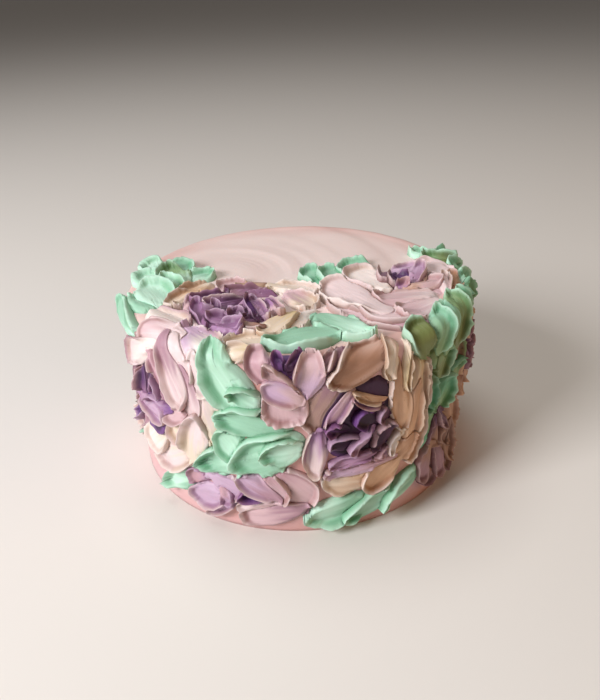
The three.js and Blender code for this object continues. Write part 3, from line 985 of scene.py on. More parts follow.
def buttercream(tone):
    """The finish of one tone, from its row of the table."""
    roughness, lines, grain, pits, uneven = FINISHES[tone]
    material = bpy.data.materials.new(tone + " buttercream")
    material.use_nodes = True
    tree = material.node_tree
    paint = add_node(tree, "ShaderNodeAttribute", {}, attribute_name="paint").outputs["Color"]
    place = add_node(tree, "ShaderNodeAttribute", {}, attribute_name="drag").outputs["Vector"]
    spot = add_node(tree, "ShaderNodeTexCoord", {}).outputs["Object"]
    dye = {"Paint": paint, "Place": place, "Spot": spot, "Amount": uneven}
    marks = {"Place": place, "Spot": spot, "Lines": lines, "Grain": grain, "Pits": pits}
    colour = add_node(tree, "ShaderNodeGroup", dye, node_tree=half_mixed)
    relief = add_node(tree, "ShaderNodeGroup", marks, node_tree=knife_relief)
    bump = add_node(tree, "ShaderNodeBump", {
        "Height": relief.outputs["Height"], "Strength": 0.6, "Distance": 0.6 * MM})
    smoothest, roughest = roughness - SMOOTHER_LINES, roughness + ROUGHER_LINES
    connect(tree, tree.nodes["Principled BSDF"], {
        "Base Color": colour.outputs["Color"],
        "Roughness": ramp(tree, relief.outputs["Mask"], 0.0, 1.0, smoothest, roughest),
        "Normal": bump.outputs["Normal"],
        **CREAM_SKIN,
    })
    return material


finishes = {tone: buttercream(tone) for tone in FINISHES}
print("finishes:", ", ".join(finishes))

# %% [markdown]
# The coat is turned like a pot: a ring of points is the foot, and it is drawn up the wall, round the
# rim and in over the top, one step after another. Extrude and resize do the drawing, so the mesh has
# even rows that the scraper's marks can move later.

# %% Turn the coat
COAT_SEGMENTS = 300
COAT_STEP = 1.7
RIM_TURNS = 6


def draw_up(rise, scale):
    """Extrudes the open face by a rise in mm and scales it to a share of its size."""
    bpy.ops.mesh.extrude_region_move(TRANSFORM_OT_translate={"value": (0, 0, rise * MM)})
    bpy.ops.transform.resize(value=(scale, scale, 1), center_override=(0, 0, 0))


def turn_coat():
    """The coat as one closed turned mesh, before its knife marks."""
    bpy.ops.object.select_all(action="DESELECT")
    bpy.ops.mesh.primitive_circle_add(
        vertices=COAT_SEGMENTS, radius=CAKE_RADIUS * MM, fill_type="NGON", location=(0, 0, 0))
    coat = bpy.context.object
    coat.name = "smooth_coat"
    bpy.ops.object.mode_set(mode="EDIT")
    bpy.ops.mesh.select_mode(type="FACE")
    bpy.ops.mesh.select_all(action="SELECT")
    wall_steps = round((CAKE_HEIGHT - RIM_ROUNDING) / COAT_STEP)
    for _ in range(wall_steps):
        draw_up((CAKE_HEIGHT - RIM_ROUNDING) / wall_steps, 1)
    reach = CAKE_RADIUS
    for k in range(1, RIM_TURNS + 1):
        turn = math.pi / 2 * k / RIM_TURNS
        before = math.pi / 2 * (k - 1) / RIM_TURNS
        new_reach = CAKE_RADIUS - RIM_ROUNDING * (1 - math.cos(turn))
        draw_up(RIM_ROUNDING * (math.sin(turn) - math.sin(before)), new_reach / reach)
        reach = new_reach
    while reach > 2 * COAT_STEP:
        draw_up(0, (reach - COAT_STEP) / reach)
        reach -= COAT_STEP
    bpy.ops.mesh.poke()
    bpy.ops.mesh.select_all(action="SELECT")
    bpy.ops.mesh.normals_make_consistent(inside=False)
    bpy.ops.object.mode_set(mode="OBJECT")
    bpy.ops.object.shade_smooth()
    return coat


coat = turn_coat()
print(coat.name, len(coat.data.vertices), "points")

# %% [markdown]
# The real coat was scraped smooth on a turntable, so its last marks are faint: low bands round the
# wall, arcs of the scraper on the top, and a slightly proud rim. They are about half a millimetre
# high, and are made of soft noise drawn out along the way that the scraper went.

# %% Marks of the scraper
SWING_X, SWING_Y = -34, 10
RIDGE_INSIDE = 3.5
RIDGE_SPREAD = 2.2


def on_top_of_coat(azimuth, below):
    """A place seen from above, and its distance from the point that the scraper swung round."""
    reach = CAKE_RADIUS + below
    side_x, side_y = reach * np.sin(azimuth), -reach * np.cos(azimuth)
    return side_x, side_y, np.hypot(side_x - SWING_X, side_y - SWING_Y)


def coat_marks(azimuth, below):
    """Height in mm of the scraper's marks, at an azimuth and a distance below the rim's corner."""
    side_x, side_y, sweep = on_top_of_coat(azimuth, below)
    arcs = noise((sweep / 5.5, side_x / 60 + side_y / 90), 11) - 0.5
    fine_arcs = noise((sweep / 1.6, side_x / 40 - side_y / 70), 12) - 0.5
    broad = noise((side_x / 28, side_y / 28), 13) - 0.5
    round_x, round_y = np.cos(azimuth), np.sin(azimuth)
    proud = 0.25 + 0.45 * noise((round_x * 3, round_y * 3), 14)
    ridge = hump(below + RIDGE_INSIDE, RIDGE_SPREAD) * proud
    top = 0.5 * arcs + 0.12 * fine_arcs + 0.9 * broad + ridge
    bands = noise((below / 6, round_x * 1.5, round_y * 1.5), 15) - 0.5
    fine_bands = noise((below / 1.4, round_x * 2.5, round_y * 2.5), 16) - 0.5
    dents = noise((round_x * 9, round_y * 9, below / 9), 17) - 0.5
    wall = 0.4 * bands + 0.12 * fine_bands + 0.5 * dents
    on_top = smooth(-below, 0, 4)
    return top * on_top + wall * (1 - on_top)


front_marks = coat_marks(np.zeros(9), np.linspace(-60, 60, 9))
print("marks from", front_marks.min().round(2), "to", front_marks.max().round(2), "mm high at the front")

# %% [markdown]
# The coat's pale pink is not even. The wall is a little pinker than the top, and a pinker band runs
# round the rim, strongest at the front right. Under the rim at the front, right of the middle, one
# patch of painted shade darkens the coat towards brown.

# %% Paint of the coat
RIM_SHADE_AZIMUTH, RIM_SHADE_WIDTH = 0.16, 0.2
RIM_SHADE_BELOW, RIM_SHADE_SPREAD = 5, 7
RIM_SHADE_STRENGTH = 0.3


def coat_paint(azimuth, below):
    """The coat's pale pink, pinker in a band at the rim and in faint sweeps, with painted shade under
    the front of the rim.
    """
    side_x, side_y, sweep = on_top_of_coat(azimuth, below)
    cloudy = noise((sweep / 9, side_x / 60 + side_y / 90), 21)
    rim = smooth(below, -15 - 8 * noise((np.cos(azimuth) * 2, np.sin(azimuth) * 2), 22), -2)
    to_front_right = 0.45 + 0.55 * smooth(np.sin(azimuth + 0.9), -0.2, 0.8)
    pinker = np.clip(rim * to_front_right * (0.55 + 0.6 * cloudy) + 0.22 * (cloudy - 0.4), 0, 1)[:, None]
    on_wall = smooth(below, -1, 3)[:, None]
    plain = linear("coat") * (1 - on_wall) + linear("wall") * on_wall
    colour = plain * (1 - pinker) + linear("band") * pinker
    # Painted shade under the rim at the front, where the leaf and the fan shade the wall.
    rim_shade = hump(azimuth - RIM_SHADE_AZIMUTH, RIM_SHADE_WIDTH) * hump(below - RIM_SHADE_BELOW, RIM_SHADE_SPREAD)
    rim_shade = rim_shade[:, None] * RIM_SHADE_STRENGTH
    return colour * (1 - rim_shade) + linear("brown") * rim_shade


print("paint at the front of the rim:", coat_paint(np.zeros(1), np.zeros(1)).round(2))

# %% [markdown]
# Marks and paint go on together. Each point of the turned coat is read back as an azimuth and a
# distance below the rim's corner, counted over the rounding, which is the way that the benches
# count too. The foot stays flat, because the cake stands on it.

# %% Finish the coat
FOOT_LEVEL = 0.01
AROUND_SCALE = 40


def below_rim(reach, height):
    """Distance below the rim's corner in mm, along the wall, the rounding and the top."""
    inner, under = CAKE_RADIUS - RIM_ROUNDING, CAKE_HEIGHT - RIM_ROUNDING
    corner = np.arctan2(reach - inner, height - under)
    return np.where(
        height < under, under - height + RIM_HALF_ARC,
        np.where(reach < inner, reach - inner - RIM_HALF_ARC, corner * RIM_ROUNDING - RIM_HALF_ARC))


def finish_coat(coat):
    """Moves the coat's points by the scraper's marks and gives them their paint."""
    points = points_of(coat) / MM
    azimuth = np.arctan2(points[:, 0], -points[:, 1])
    below = below_rim(np.hypot(points[:, 0], points[:, 1]), points[:, 2])
    standing = points[:, 2] > FOOT_LEVEL
    marked = on_cake(azimuth, below, coat_marks(azimuth, below))
    points[standing] = marked[standing]
    coat.data.vertices.foreach_set("co", (points * MM).ravel())
    keep_paint(coat, coat_paint(azimuth, below), [azimuth * AROUND_SCALE, below, 0 * below])
    coat.data.update()


finish_coat(coat)
print(coat.name, "top at", (points_of(coat)[:, 2].max() / MM).round(1))

# %% [markdown]
# The strokes of one flower or tuft become one object. It then joins the frame in the same way as
# every finished piece: it gets its material and the body it rides on, and the node that it stands
# for is hidden.

# %% Hand a piece to the frame
knife_pieces = []


def join_as(name, parts):
    """Joins the parts into one object with this name."""
    bpy.ops.object.select_all(action="DESELECT")
    for part in parts:
        part.select_set(True)
    bpy.context.view_layer.objects.active = parts[0]
    bpy.ops.object.join()
    piece = bpy.context.object
    piece.name = name
    piece.data.name = name
    return piece


def hand_over(piece, node, tone):
    """Material and body of a finished piece, and the node that it stands for hidden."""
    piece.data.materials.clear()
    piece.data.materials.append(finishes[tone])
    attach(piece, "root")
    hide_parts(node)


def make_piece(node, tone, bench, rows):
    """Lays every stroke of a piece and hands the joined piece over."""
    piece = join_as("cream_" + node, [lay(read_stroke(row, bench)) for row in rows])
    knife_pieces.append((piece, bench))
    hand_over(piece, node, tone)
    print(piece.name, len(rows), "strokes,", len(piece.data.polygons), "faces")


hand_over(coat, "coated_cake", "coat")

# %% [markdown]
# Now the strokes themselves. On the wall a row gives the root and the tip as azimuth in degrees from
# the front and height in mm, then the width, the press, the lean of the lip, and the three paints
# for root, tip and lip. On the top, root and tip are given in mm from the middle of the cake. A
# curve in mm bows a stroke to its left, and a last number tears its lip. They were read from the
# photograph, petal by petal, in the order in which the decorator must have laid them. The first
# to be laid are the leaves that the flowers partly cover.

# %% Leaves below the flowers
UNDER_LEAVES = {
    # The olive on these leaves at the right is painted warm shade over mint.
    "leaves_back_right": ("top", [
        (69, 20, 57, 27, 9, RUFFLE, -60, "mint palemint palemint", 0, 0.4),
        (77, 12, 71, 26, 13, RUFFLE, 60, "sage mint mint", 0, 0.3),
        (76, 8, 62, 20, 14, RUFFLE, -50, "olive sage palemint", 0, 0.2),
        (77, -2, 78, 15, 12, RUFFLE, 60, "sage mint palemint", 0, 0.3),
        (80, -14, 79, 4, 11, RUFFLE, 60, "sage mint palemint", 0, 0.3),
        (80, -30, 79, -8, 12, RUFFLE, 50, "olive sage mint", 0, 0.3),
    ]),
    # The deep mint at their roots is painted shade.
    "leaves_top_middle": ("top", [
        (14, -12, 6, 8, 14, RUFFLE, 40, "deepmint mint palemint", 1),
        (22, -14, 15, 8, 15, RUFFLE, 50, "mint mint palemint", 1, 0.2),
        (32, -8, 28, 18, 19, RUFFLE, 50, "deepmint mint palemint", 1, 0.2),
    ]),
    "leaves_top_left": ("top", [
        (-64, 2, -71, 24, 16, RUFFLE, 60, "mint palemint palemint"),
        (-61, 1, -53, 21, 20, RUFFLE, -50, "palemint mint palemint"),
        (-52, -3, -39, 7, 13, RUFFLE, 20, "palemint mint palemint", 0, 0.2),
        (-61, -11, -74, 8, 17, RUFFLE, -30, "mint palemint palemint"),
        (-54, -12, -60, 12, 17, RUFFLE, 60, "palemint sage palemint"),
        (-61, -33, -71, -14, 15, RUFFLE, -10, "mint palemint palemint"),
        (-50, -16, -62, -1, 12, RUFFLE, -60, "sage palemint palemint"),
        (-55, -30, -69, -4, 18, RUFFLE, -50, "palemint palemint palemint"),
    ]),
    # The deep mint at its root is painted shade between the two roses.
    "leaf_between_roses": ("wall", [(39.5, 28, 44.5, 48, 11, LEAF, 50, "deepmint sage mint")]),
    "leaf_edge_left": ("wall", [(-46, 77.5, -80, 82, 6, BLADE, -50, "palemint mint palemint")]),
    "leaf_foot_far_left": ("wall", [(-33, 25, -62, 31, 12, LEAF, 60, "palemint palemint palemint")]),
    "leaf_foot_left": ("wall", [(-33, 23, -49, 10, 13, LEAF, -50, "mint palemint palemint")]),
    "leaf_foot_front": ("wall", [(21.5, 15.5, 0.5, 8.5, 14, LEAF, 50, "mint palemint palemint")]),
    "leaf_foot_middle": ("wall", [(32.5, 16, 12, 6.8, 12.5, LEAF, -40, "palemint mint palemint")]),
    "leaf_foot_right": ("wall", [(41.5, 20.5, 24, 8.5, 12, LEAF, -60, "mint palemint palemint")]),
    # The olive, the cocoa and the deep mint on these leaves are painted warm shade over mint.
    "leaves_right": ("wall", [
        (57, 80, 60, 60, 15, RUFFLE, 60, "olive cocoa sage", 0, 0.2),
        (52, 44, 60, 62, 13, RUFFLE, 50, "olive sage mint", 0, 0.3),
        (45.5, 82, 46.5, 64, 12, RUFFLE, 60, "olive sage mint", 0, 0.4),
        (46, 58, 52, 76, 12, RUFFLE, -50, "olive sage palemint", 0, 0.3),
        (42, 66, 44, 48, 9, RUFFLE, 60, "olive deepmint mint", 0, 0.3),
        (46.5, 41, 54, 58, 12, RUFFLE, -60, "sage deepmint palemint", 0, 0.3),
    ]),
}
for node, (bench, rows) in UNDER_LEAVES.items():
    make_piece(node, "mint", bench, rows)

# %% [markdown]
# The mauve rose at the right edge is small and crumpled, in brown and violet. Its browns are partly
# its own colour and partly painted warm shade over dusty pink, as the right side lies out of the light.

# %% Mauve rose
make_piece("rose_mauve", "mauve", "wall", [
    (56, 46, 61, 25, 13, OUTER, 40, "brown tan sand", 0, 0.3),
    (55, 24, 59, 5, 12, OUTER, 30, "mauve cocoa dusty"),
    (47, 17, 43, 7.5, 11, OUTER, 0, "cocoa mauve dusty"),
    (50, 40, 51, 12, 17, PAD, 0, "wine brown mauve"),
    (46, 44, 45.5, 26, 9, MIDDLE, -60, "wine brown dusty", 0, 0.3),
    (52, 40, 54, 22, 9, MIDDLE, -60, "cocoa cocoa sand", 0, 0.3),
    (45.5, 31, 41, 12.5, 11, OUTER, -60, "brown dusty blush", 0, 0.2),
    (49, 26, 52.5, 6, 10, OUTER, -60, "mauve dusty blush", 0, 0.2),
    (57, 34, 57, 11, 8, RUFFLE, 60, "cocoa brown sand", 0, 0.4),
    (48, 46, 52, 33, 6, RUFFLE, -60, "wine mauve blush", 0, 0.4),
])

# %% [markdown]
# The blush rose fills the right of the top. Long pink petals sweep round it from the front, and a
# bright violet bud stands in its heart.

# %% Blush rose
make_piece("rose_blush", "blush", "top", [
    (51, -57, 14, -30, 12, OUTER, 70, "rose shell shell", 3),
    (55, -51, 17, -26, 12, OUTER, 70, "rose shell shell", 3),
    (68, -10, 26, -18, 34, PAD, 0, "blush rose blush"),
    (73, -5, 57, 12, 17, OUTER, 30, "shell shell shell"),
    (67, -31, 72, -3, 9, OUTER, 60, "brown tan shell"),
    (62, -36, 71, -26, 8, OUTER, 20, "cocoa brown shell", 0, 0.3),
    (58, -45, 27, -40, 15, OUTER, 50, "blush shell shell", 2),
    (65, -30, 43, -45, 18, BROAD, 30, "shell blush shell", 0, 0.6),
    (38, -43, 15, -11, 22, MIDDLE, 60, "shell shell ivory", 2),
    (63, -24, 33, -28, 15, OUTER, -60, "shell blush shell"),
    (42, -22, 28, 4, 20, MIDDLE, 40, "ivory ivory shell", 2),
    (66, -25, 68, -5, 7, MIDDLE, -60, "shell shell ivory", 0, 0.3),
    (47, -19, 65, -10, 13, MIDDLE, 50, "sand blush shell"),
    (58, -10, 57, 8, 8, MIDDLE, 50, "sand shell shell", 0, 0.2),
    (50, -14, 49, 6, 18, PAD, 0, "violet orchid thistle"),
    (44, 1, 60, 5, 12, MIDDLE, 60, "lilac lilac shell", 0, 0.2),
    (42, 4, 40, -14, 8, HEART, -60, "thistle dusty shell"),
    (46, 0, 44, -16, 6, HEART, -60, "grape dusty shell"),
    (46, -3, 55, -10, 7, HEART, 60, "grape violet orchid"),
    (53, -14, 59, 4, 8, HEART, -50, "thistle lilac shell"),
    (44, -18, 51, -15, 5, HEART, 60, "orchid rose blush"),
])

# %% [markdown]
# The plum rose lies at the front left of the top: a dark heart in violet and plum, then lilac, then
# cream petals that reach to the rim and fold down over it.

# %% Plum rose
make_piece("rose_plum", "plum", "top", [
    (-38, -3, -50, -20, 13, OUTER, -60, "cream beige cream", 0, 0.3),
    (-45, -14, -55, -32, 12, OUTER, -60, "beige cream ivory", 0, 0.3),
    (-20, -14, -36, -7, 15, OUTER, -30, "blush blush shell", 0, 0.3),
    (-8, -9, -27, -14, 12, OUTER, 60, "taupe beige cream", 0, 0.2),
    (-41, -18, -52, -32, 6, MIDDLE, 60, "tan cream ivory", 0, 0.3),
    (-14, -10, 10, -19, 14, OUTER, 50, "cream ivory ivory", 0, 0.4),
    (-6, -18, 8, -35, 13, OUTER, 30, "blush cream ivory", 0, 0.6),
    (9, -36, -8, -57, 12, OUTER, 50, "ivory cream ivory", 0, 0.2),
    (-39, -57, -45, -25, 12, OUTER, -60, "shell blush shell"),
    (-56, -55, -36, -64, 15, OUTER, 10, "blush shell shell"),
    (-63, -32, -45, -52, 16, MIDDLE, 75, "ivory ivory dusty"),
    (-46, -51, -31, -68, 14, OUTER, 30, "lilac ivory ivory"),
    (-8, -65, -28, -66, 17, OUTER, -40, "cream cream ivory"),
    (-14, -72, -28, -71, 8, OUTER, 0, "butter cream ivory"),
    (1, -36, -14, -59, 13, OUTER, 50, "butter cream cream"),
    (-44, -34, -13, -34, 34, PAD, 0, "orchid heather heather"),
    (-8, -19, -32, -17, 6, MIDDLE, -60, "heather mauve dusty", 0, 0.4),
    (-30, -18, -46, -28, 9, MIDDLE, -50, "wine orchid thistle", 0, 0.2),
    (-37, -50, -43, -29, 8, MIDDLE, 50, "heather orchid lilac"),
    (-12, -53, -26, -51, 7, MIDDLE, 60, "cocoa taupe shell"),
    (-36, -51, -22, -56, 9, MIDDLE, 60, "orchid orchid lilac"),
    (-20, -24, -40, -32, 9, HEART, -50, "wine orchid shell"),
    (-33, -49, -22, -53, 7, HEART, 60, "heather orchid lilac"),
    (-26, -44, -38, -43, 7, HEART, -60, "heather orchid lilac"),
    (-13, -42, -23, -47, 7, HEART, -60, "wine heather lilac"),
    (-29, -35, -39, -38, 5, HEART, 50, "plum grape lilac"),
    (-24, -43, -19, -26, 11, OUTER, -60, "orchid thistle lilac"),
    (-21, -43, -29, -41, 6, HEART, -60, "wine heather lilac"),
    (-21, -35, -29, -38, 4, HEART, 60, "grape violet lilac"),
    (-32, -39, -36, -31, 5, HEART, -60, "plum heather lilac"),
    (-16, -45, -21, -27, 5, HEART, 60, "wine violet lilac", 1),
    (-20, -27, -11.5, -45, 5, HEART, 60, "orchid thistle shell", 1),
    (-15, -24, -6, -43, 6.5, MIDDLE, 60, "orchid blush shell", 1),
])

# %% [markdown]
# The left rose wraps round the left of the wall: pale cream and pink petals with a narrow violet
# heart.

# %% Left rose
make_piece("rose_left", "blush", "wall", [
    (-30, 74, -24.5, 42, 14, OUTER, 60, "shell cream shell"),
    (-28, 43, -54, 21, 18, OUTER, 40, "cream shell ivory"),
    (-43, 46, -58, 24, 15, OUTER, 30, "cream ivory ivory", 0, 0.2),
    (-58, 42, -70, 28, 14, OUTER, 0, "dusty shell ivory", 0, 0.4),
    (-37, 86, -56, 81, 11, PAD, 0, "shell blush shell", 0, 0.3),
    (-36, 82, -40, 40, 22, PAD, 0, "shell shell shell"),
    (-52, 70, -54, 34, 24, PAD, 0, "wine grape violet"),
    (-72, 36, -62, 62, 11, OUTER, -50, "mauve mauve blush"),
    (-46, 80, -74, 60, 15, OUTER, -40, "ivory shell dusty"),
    (-33, 53, -42, 38, 13, OUTER, -50, "shell cream shell"),
    (-31, 82, -27, 64, 12, OUTER, 50, "shell shell ivory"),
    (-42, 85, -33, 68, 15, OUTER, -40, "shell shell shell"),
    (-35.5, 76, -33, 50, 12, OUTER, -50, "dusty shell shell"),
    (-50, 76, -40, 52.5, 10, MIDDLE, -60, "rose thistle shell"),
    (-44, 85, -36.5, 56, 13, MIDDLE, -60, "dusty shell shell", 1),
    (-35, 53, -45, 48, 10, OUTER, 20, "blush blush shell"),
    (-34.5, 28, -31, 56, 15, LEAF, 30, "cream shell shell"),
    (-52, 65, -54, 47, 6, HEART, 60, "plum violet thistle"),
    (-50, 66, -46, 52, 6, HEART, 60, "plum violet lilac"),
    (-57, 63, -61, 44, 6, HEART, -60, "grape heather blush"),
    (-60, 43, -66, 32, 7, HEART, 30, "plum violet lilac", 0, 0.4),
    (-41, 52, -53, 50, 9, HEART, -50, "violet thistle lilac"),
    (-64, 47, -45, 44, 9, MIDDLE, -60, "thistle lilac shell"),
])

# %% [markdown]
# At the foot sit a lilac bud and a small pink blossom of two broad petals.

# %% Bud and blossom
make_piece("bud_lilac", "lilac", "wall", [
    (-28, 25, -37, 21, 9, OUTER, -20, "thistle rose lilac", 0, 0.7),
    (-19, 17, -30, 6.5, 8, OUTER, 50, "lilac lilac shell"),
    (-30, 26, -18.5, 19, 12, OUTER, 30, "lilac lilac shell", 0, 0.3),
    (-22, 17, -36.5, 12, 13, OUTER, 50, "lilac lilac shell", 0, 0.2),
    (-25, 21, -22, 13.5, 6, MIDDLE, 0, "rose lilac lilac", 0, 0.7),
])
make_piece("blossom_pink", "blush", "wall", [
    (-11.5, 35, 3.2, 17, 18, OUTER, 50, "rose blush shell"),
    (3, 15, -19, 9, 16, OUTER, -50, "dusty blush shell", 0.5, 0.2),
    (-3.5, 20.5, -20, 13, 6.5, OUTER, -50, "blush shell shell"),
    (-12.5, 35, -4, 19, 8, MIDDLE, 60, "rose blush shell"),
    (-9, 21, -18.5, 19.5, 6.5, HEART, 30, "plum violet orchid"),
    (-6, 20, -19, 28.5, 10.5, MIDDLE, 50, "dusty lilac shell"),
])

# %% [markdown]
# The leaves between the flowers are laid next. The tall one stands against the left rose, and its
# deep groove beside the lip is the darkest green on the cake, shaded by its depth and by painted shade.

# %% Leaves between the flowers
OVER_LEAVES = {
    "leaf_rim_middle": ("top", [(7, -43, 31, -64, 18, LEAF, -60, "mint palemint palemint")]),
    "leaf_centre_left": ("wall", [
        (-14, 38, -32, 31.5, 16, LEAF, -40, "palemint mint palemint"),
        (-14, 34, -24, 50, 14, OUTER, 40, "palemint softmint palemint"),
    ]),
    "leaf_centre_tall": ("wall", [(-12, 56, -27, 86.5, 18.5, LEAF, 50, "palemint softmint palemint")]),
    "leaf_centre_curl": ("wall", [
        (-10.5, 64, -19.5, 71, 10, LEAF, -30, "palemint mint palemint", 0, 0.3),
    ]),
    "leaf_centre_flat": ("wall", [(-1.5, 52.5, -24.5, 57.5, 16, LEAF, -30, "mint mint palemint")]),
    "leaf_centre_low": ("wall", [
        (1.5, 48.5, -21, 34, 20.5, LEAF, -60, "softmint mint palemint"),
        (1.4, 45.5, -11.5, 41, 13.5, LEAF, -50, "palemint mint palemint", 0, 0.3),
    ]),
}
for node, (bench, rows) in OVER_LEAVES.items():
    make_piece(node, "mint", bench, rows)

# %% [markdown]
# The front rose is the largest. Broad beige petals frame it, three long ones overlap down its right
# side, a fan-shaped one lies over its top, and its heart is a deep violet hollow with thin blades.

# %% Front rose
make_piece("rose_front", "beige", "wall", [
    (20, 86, 5.5, 79.5, 7, OUTER, -60, "sand rose shell", 0, 0.2),
    (15.5, 86, 3, 51.5, 18, OUTER, -60, "mauve taupe shell", -1, 0.2),
    (26.5, 25, 5, 28.2, 16, OUTER, -20, "beige cream ivory"),
    (39.5, 86, 34.5, 28, 14, OUTER, 75, "cream peach ivory", 0, 0.2),
    (37.5, 84, 37, 46, 8, MIDDLE, 60, "butter sand cream", 0, 0.3),
    (37, 66, 33, 30, 9, MIDDLE, 60, "tan peach cream", 0, 0.2),
    (36.5, 40, 20, 20.5, 14, OUTER, -20, "tan peach ivory"),
    (20, 74, 17.5, 34, 31, PAD, 0, "plum plum grape"),
    (15.8, 71, 7.8, 53.5, 7, OUTER, 50, "blush orchid shell"),
    (31.5, 86, 8, 73.2, 16, FAN, -50, "sand brown ivory", 0, 0.5),
    (29.5, 79, 31.4, 46, 9.5, OUTER, -70, "tan peach ivory", 0, 0.2),
    (28.5, 90, 26.5, 71, 7.5, OUTER, -60, "sand cream cream", 0, 0.9),
    (33.2, 85, 32, 63, 3.5, MIDDLE, 60, "cream butter cream", 0, 0.4),
    (30, 33, 7, 31.4, 6.5, OUTER, -60, "rose lilac shell", 0, 0.4),
    (26.5, 38, 8, 35.2, 6.5, OUTER, -60, "orchid thistle lilac", 0, 0.4),
    (5.4, 54.5, 4, 31, 10.5, OUTER, -70, "orchid shell ivory"),
    (22, 33.5, 28.5, 38, 5, HEART, 60, "rose orchid blush", 0, 0.4),
    (32, 46, 27, 35, 5, MIDDLE, -50, "cream ivory ivory"),
    (14.6, 51, 7.2, 54, 6, HEART, 0, "plum violet orchid", 0, 0.3),
    (21, 44, 8, 46, 8.5, HEART, -60, "plum plum lilac"),
    (22, 38.5, 28, 50.5, 8.5, HEART, 60, "plum wine blush"),
    (24.5, 53, 15.4, 56.5, 10, HEART, 0, "plum plum violet"),
    (27.4, 54, 22.6, 55, 8, HEART, 0, "wine mauve lilac"),
    (25.5, 60, 15, 66, 4, HEART, 50, "wine orchid blush", 1.5),
    (26, 62, 15.4, 68, 4, MIDDLE, 50, "tan beige cream", 1.5),
    (22.8, 51, 14, 41, 6, HEART, -50, "orchid lilac lilac", 1),
])

# %% [markdown]
# The small rose at the middle is a tulip-like cup of dusty pink blades with violet between them.

# %% Small rose
make_piece("rose_small", "dusty", "wall", [
    (-4.6, 79, -3.6, 55.5, 18, OUTER, -30, "dusty blush shell", 0, 0.6),
    (-3, 86, -2.5, 70, 16, PAD, 0, "violet plum violet"),
    (-4.5, 70, -13.5, 86, 11, OUTER, 50, "blush rose shell"),
    (-1.6, 78, -7, 84, 4.5, HEART, 0, "plum violet orchid"),
    (-3.6, 80.5, 3.6, 84, 5, HEART, 60, "plum violet orchid"),
    (0.6, 66.5, 4.6, 84, 12, OUTER, 50, "lilac blush shell"),
    (1.4, 67.5, -9, 81, 6.5, MIDDLE, -60, "rose blush shell"),
    (1.8, 66, -10, 74.2, 11, MIDDLE, 60, "blush lilac shell"),
])

# %% [markdown]
# Five leaves fold over the rim at the right, past the blush rose. Their olive is painted warm shade
# over mint, as the right side lies out of the light.

# %% Leaves over the right rim
make_piece("leaves_rim_right", "mint", "top", [
    (80, -40, 70, -24, 13, RUFFLE, 50, "olive mint palemint", 0, 0.1),
    (75, -51, 65, -27, 13, RUFFLE, -60, "olive sage palemint", 0, 0.2),
    (68, -58, 60, -38, 14, RUFFLE, 60, "sage mint palemint", 1, 0.1),
    (61, -62, 57, -43, 11, RUFFLE, -60, "sage mint palemint", 0, 0.2),
    (54, -66, 46, -53, 17, RUFFLE, 50, "olive olive palemint", 1, 0.1),
])

# %% [markdown]
# Last of the front, one long leaf is laid across the rim over the cream petals.

# %% Leaf across the front rim
make_piece("leaf_rim_front", "mint", "top", [
    (17, -58, -13, -69, 20, LEAF, 60, "mint mint palemint", -1),
])

# %% [markdown]
# The photograph doesn't show the far side. It is dressed by one recipe, in the same hand: roses in a
# row, each with three rings of petals round a bed. A ring's row gives the number of petals, where
# they start and end as shares of the rose's radius, their width, how far they swing round, the angle
# of the first one, the press and the lean. Small fixed changes keep the petals from being alike.

# %% Roses of the side turned away
BACK_ROSES = [
    # The first rose lies at the right edge: its brown and cocoa are painted warm shade over dusty pink.
    (80, 51, 22, "dusty", "cocoa sand peach", "brown sand peach", "grape mauve dusty"),
    (122, 44, 26, "blush", "blush shell shell", "sand shell ivory", "rose blush shell"),
    (166, 41, 26, "plum", "lilac shell shell", "thistle lilac shell", "plum orchid lilac"),
    (210, 45, 26, "beige", "peach cream ivory", "beige butter ivory", "taupe sand cream"),
    (254, 43, 25, "lilac", "thistle lilac shell", "lilac shell ivory", "grape violet lilac"),
]
BACK_RINGS = (
    (6, 0.32, 1.0, 0.72, 16, 10, OUTER, 45),
    (5, 0.12, 0.7, 0.46, 28, 50, MIDDLE, 50),
    (4, 0.0, 0.38, 0.28, 45, 20, HEART, 50),
)
TURN_CHANGE, LENGTH_CHANGE, WIDTH_CHANGE = 50, 0.2, 0.4
PETAL_CURVE, PETAL_TORN = 1, 0.2
BED_REACH = 0.5
CHANCE_SEED = 40


def chance(place, part):
    """A fixed random number from -0.5 to 0.5 for one feature of a petal."""
    return float(noise((np.array(place * 1.7 + 0.4), np.array(part * 5.3 + 0.2)), CHANCE_SEED)) - 0.5


def ring_of_petals(rose, ring, even_paint, odd_paint):
    """Rows of one ring of petals round a rose's middle on the wall, no two alike."""
    azimuth, height, radius = rose
    count, inner, outer, width, swing, start, press, lean = ring
    rows = []
    for k in range(count):
        place = azimuth + 3 * count + k
        middle = start + azimuth + 360 * k / count + TURN_CHANGE * chance(place, 1)
        length = 1 + LENGTH_CHANGE * chance(place, 2)
        ends = []
        for turn, reach in ((-swing, inner), (swing, outer * length)):
            angle = math.radians(middle + turn)
            ends.append(azimuth + reach * radius * math.cos(angle) / PER_DEGREE)
            ends.append(height + reach * radius * math.sin(angle))
        broad = width * radius * (1 + WIDTH_CHANGE * chance(place, 3))
        paint = odd_paint if k % 2 else even_paint
        rows.append((*ends, broad, press, lean, paint, PETAL_CURVE, PETAL_TORN))
    return rows


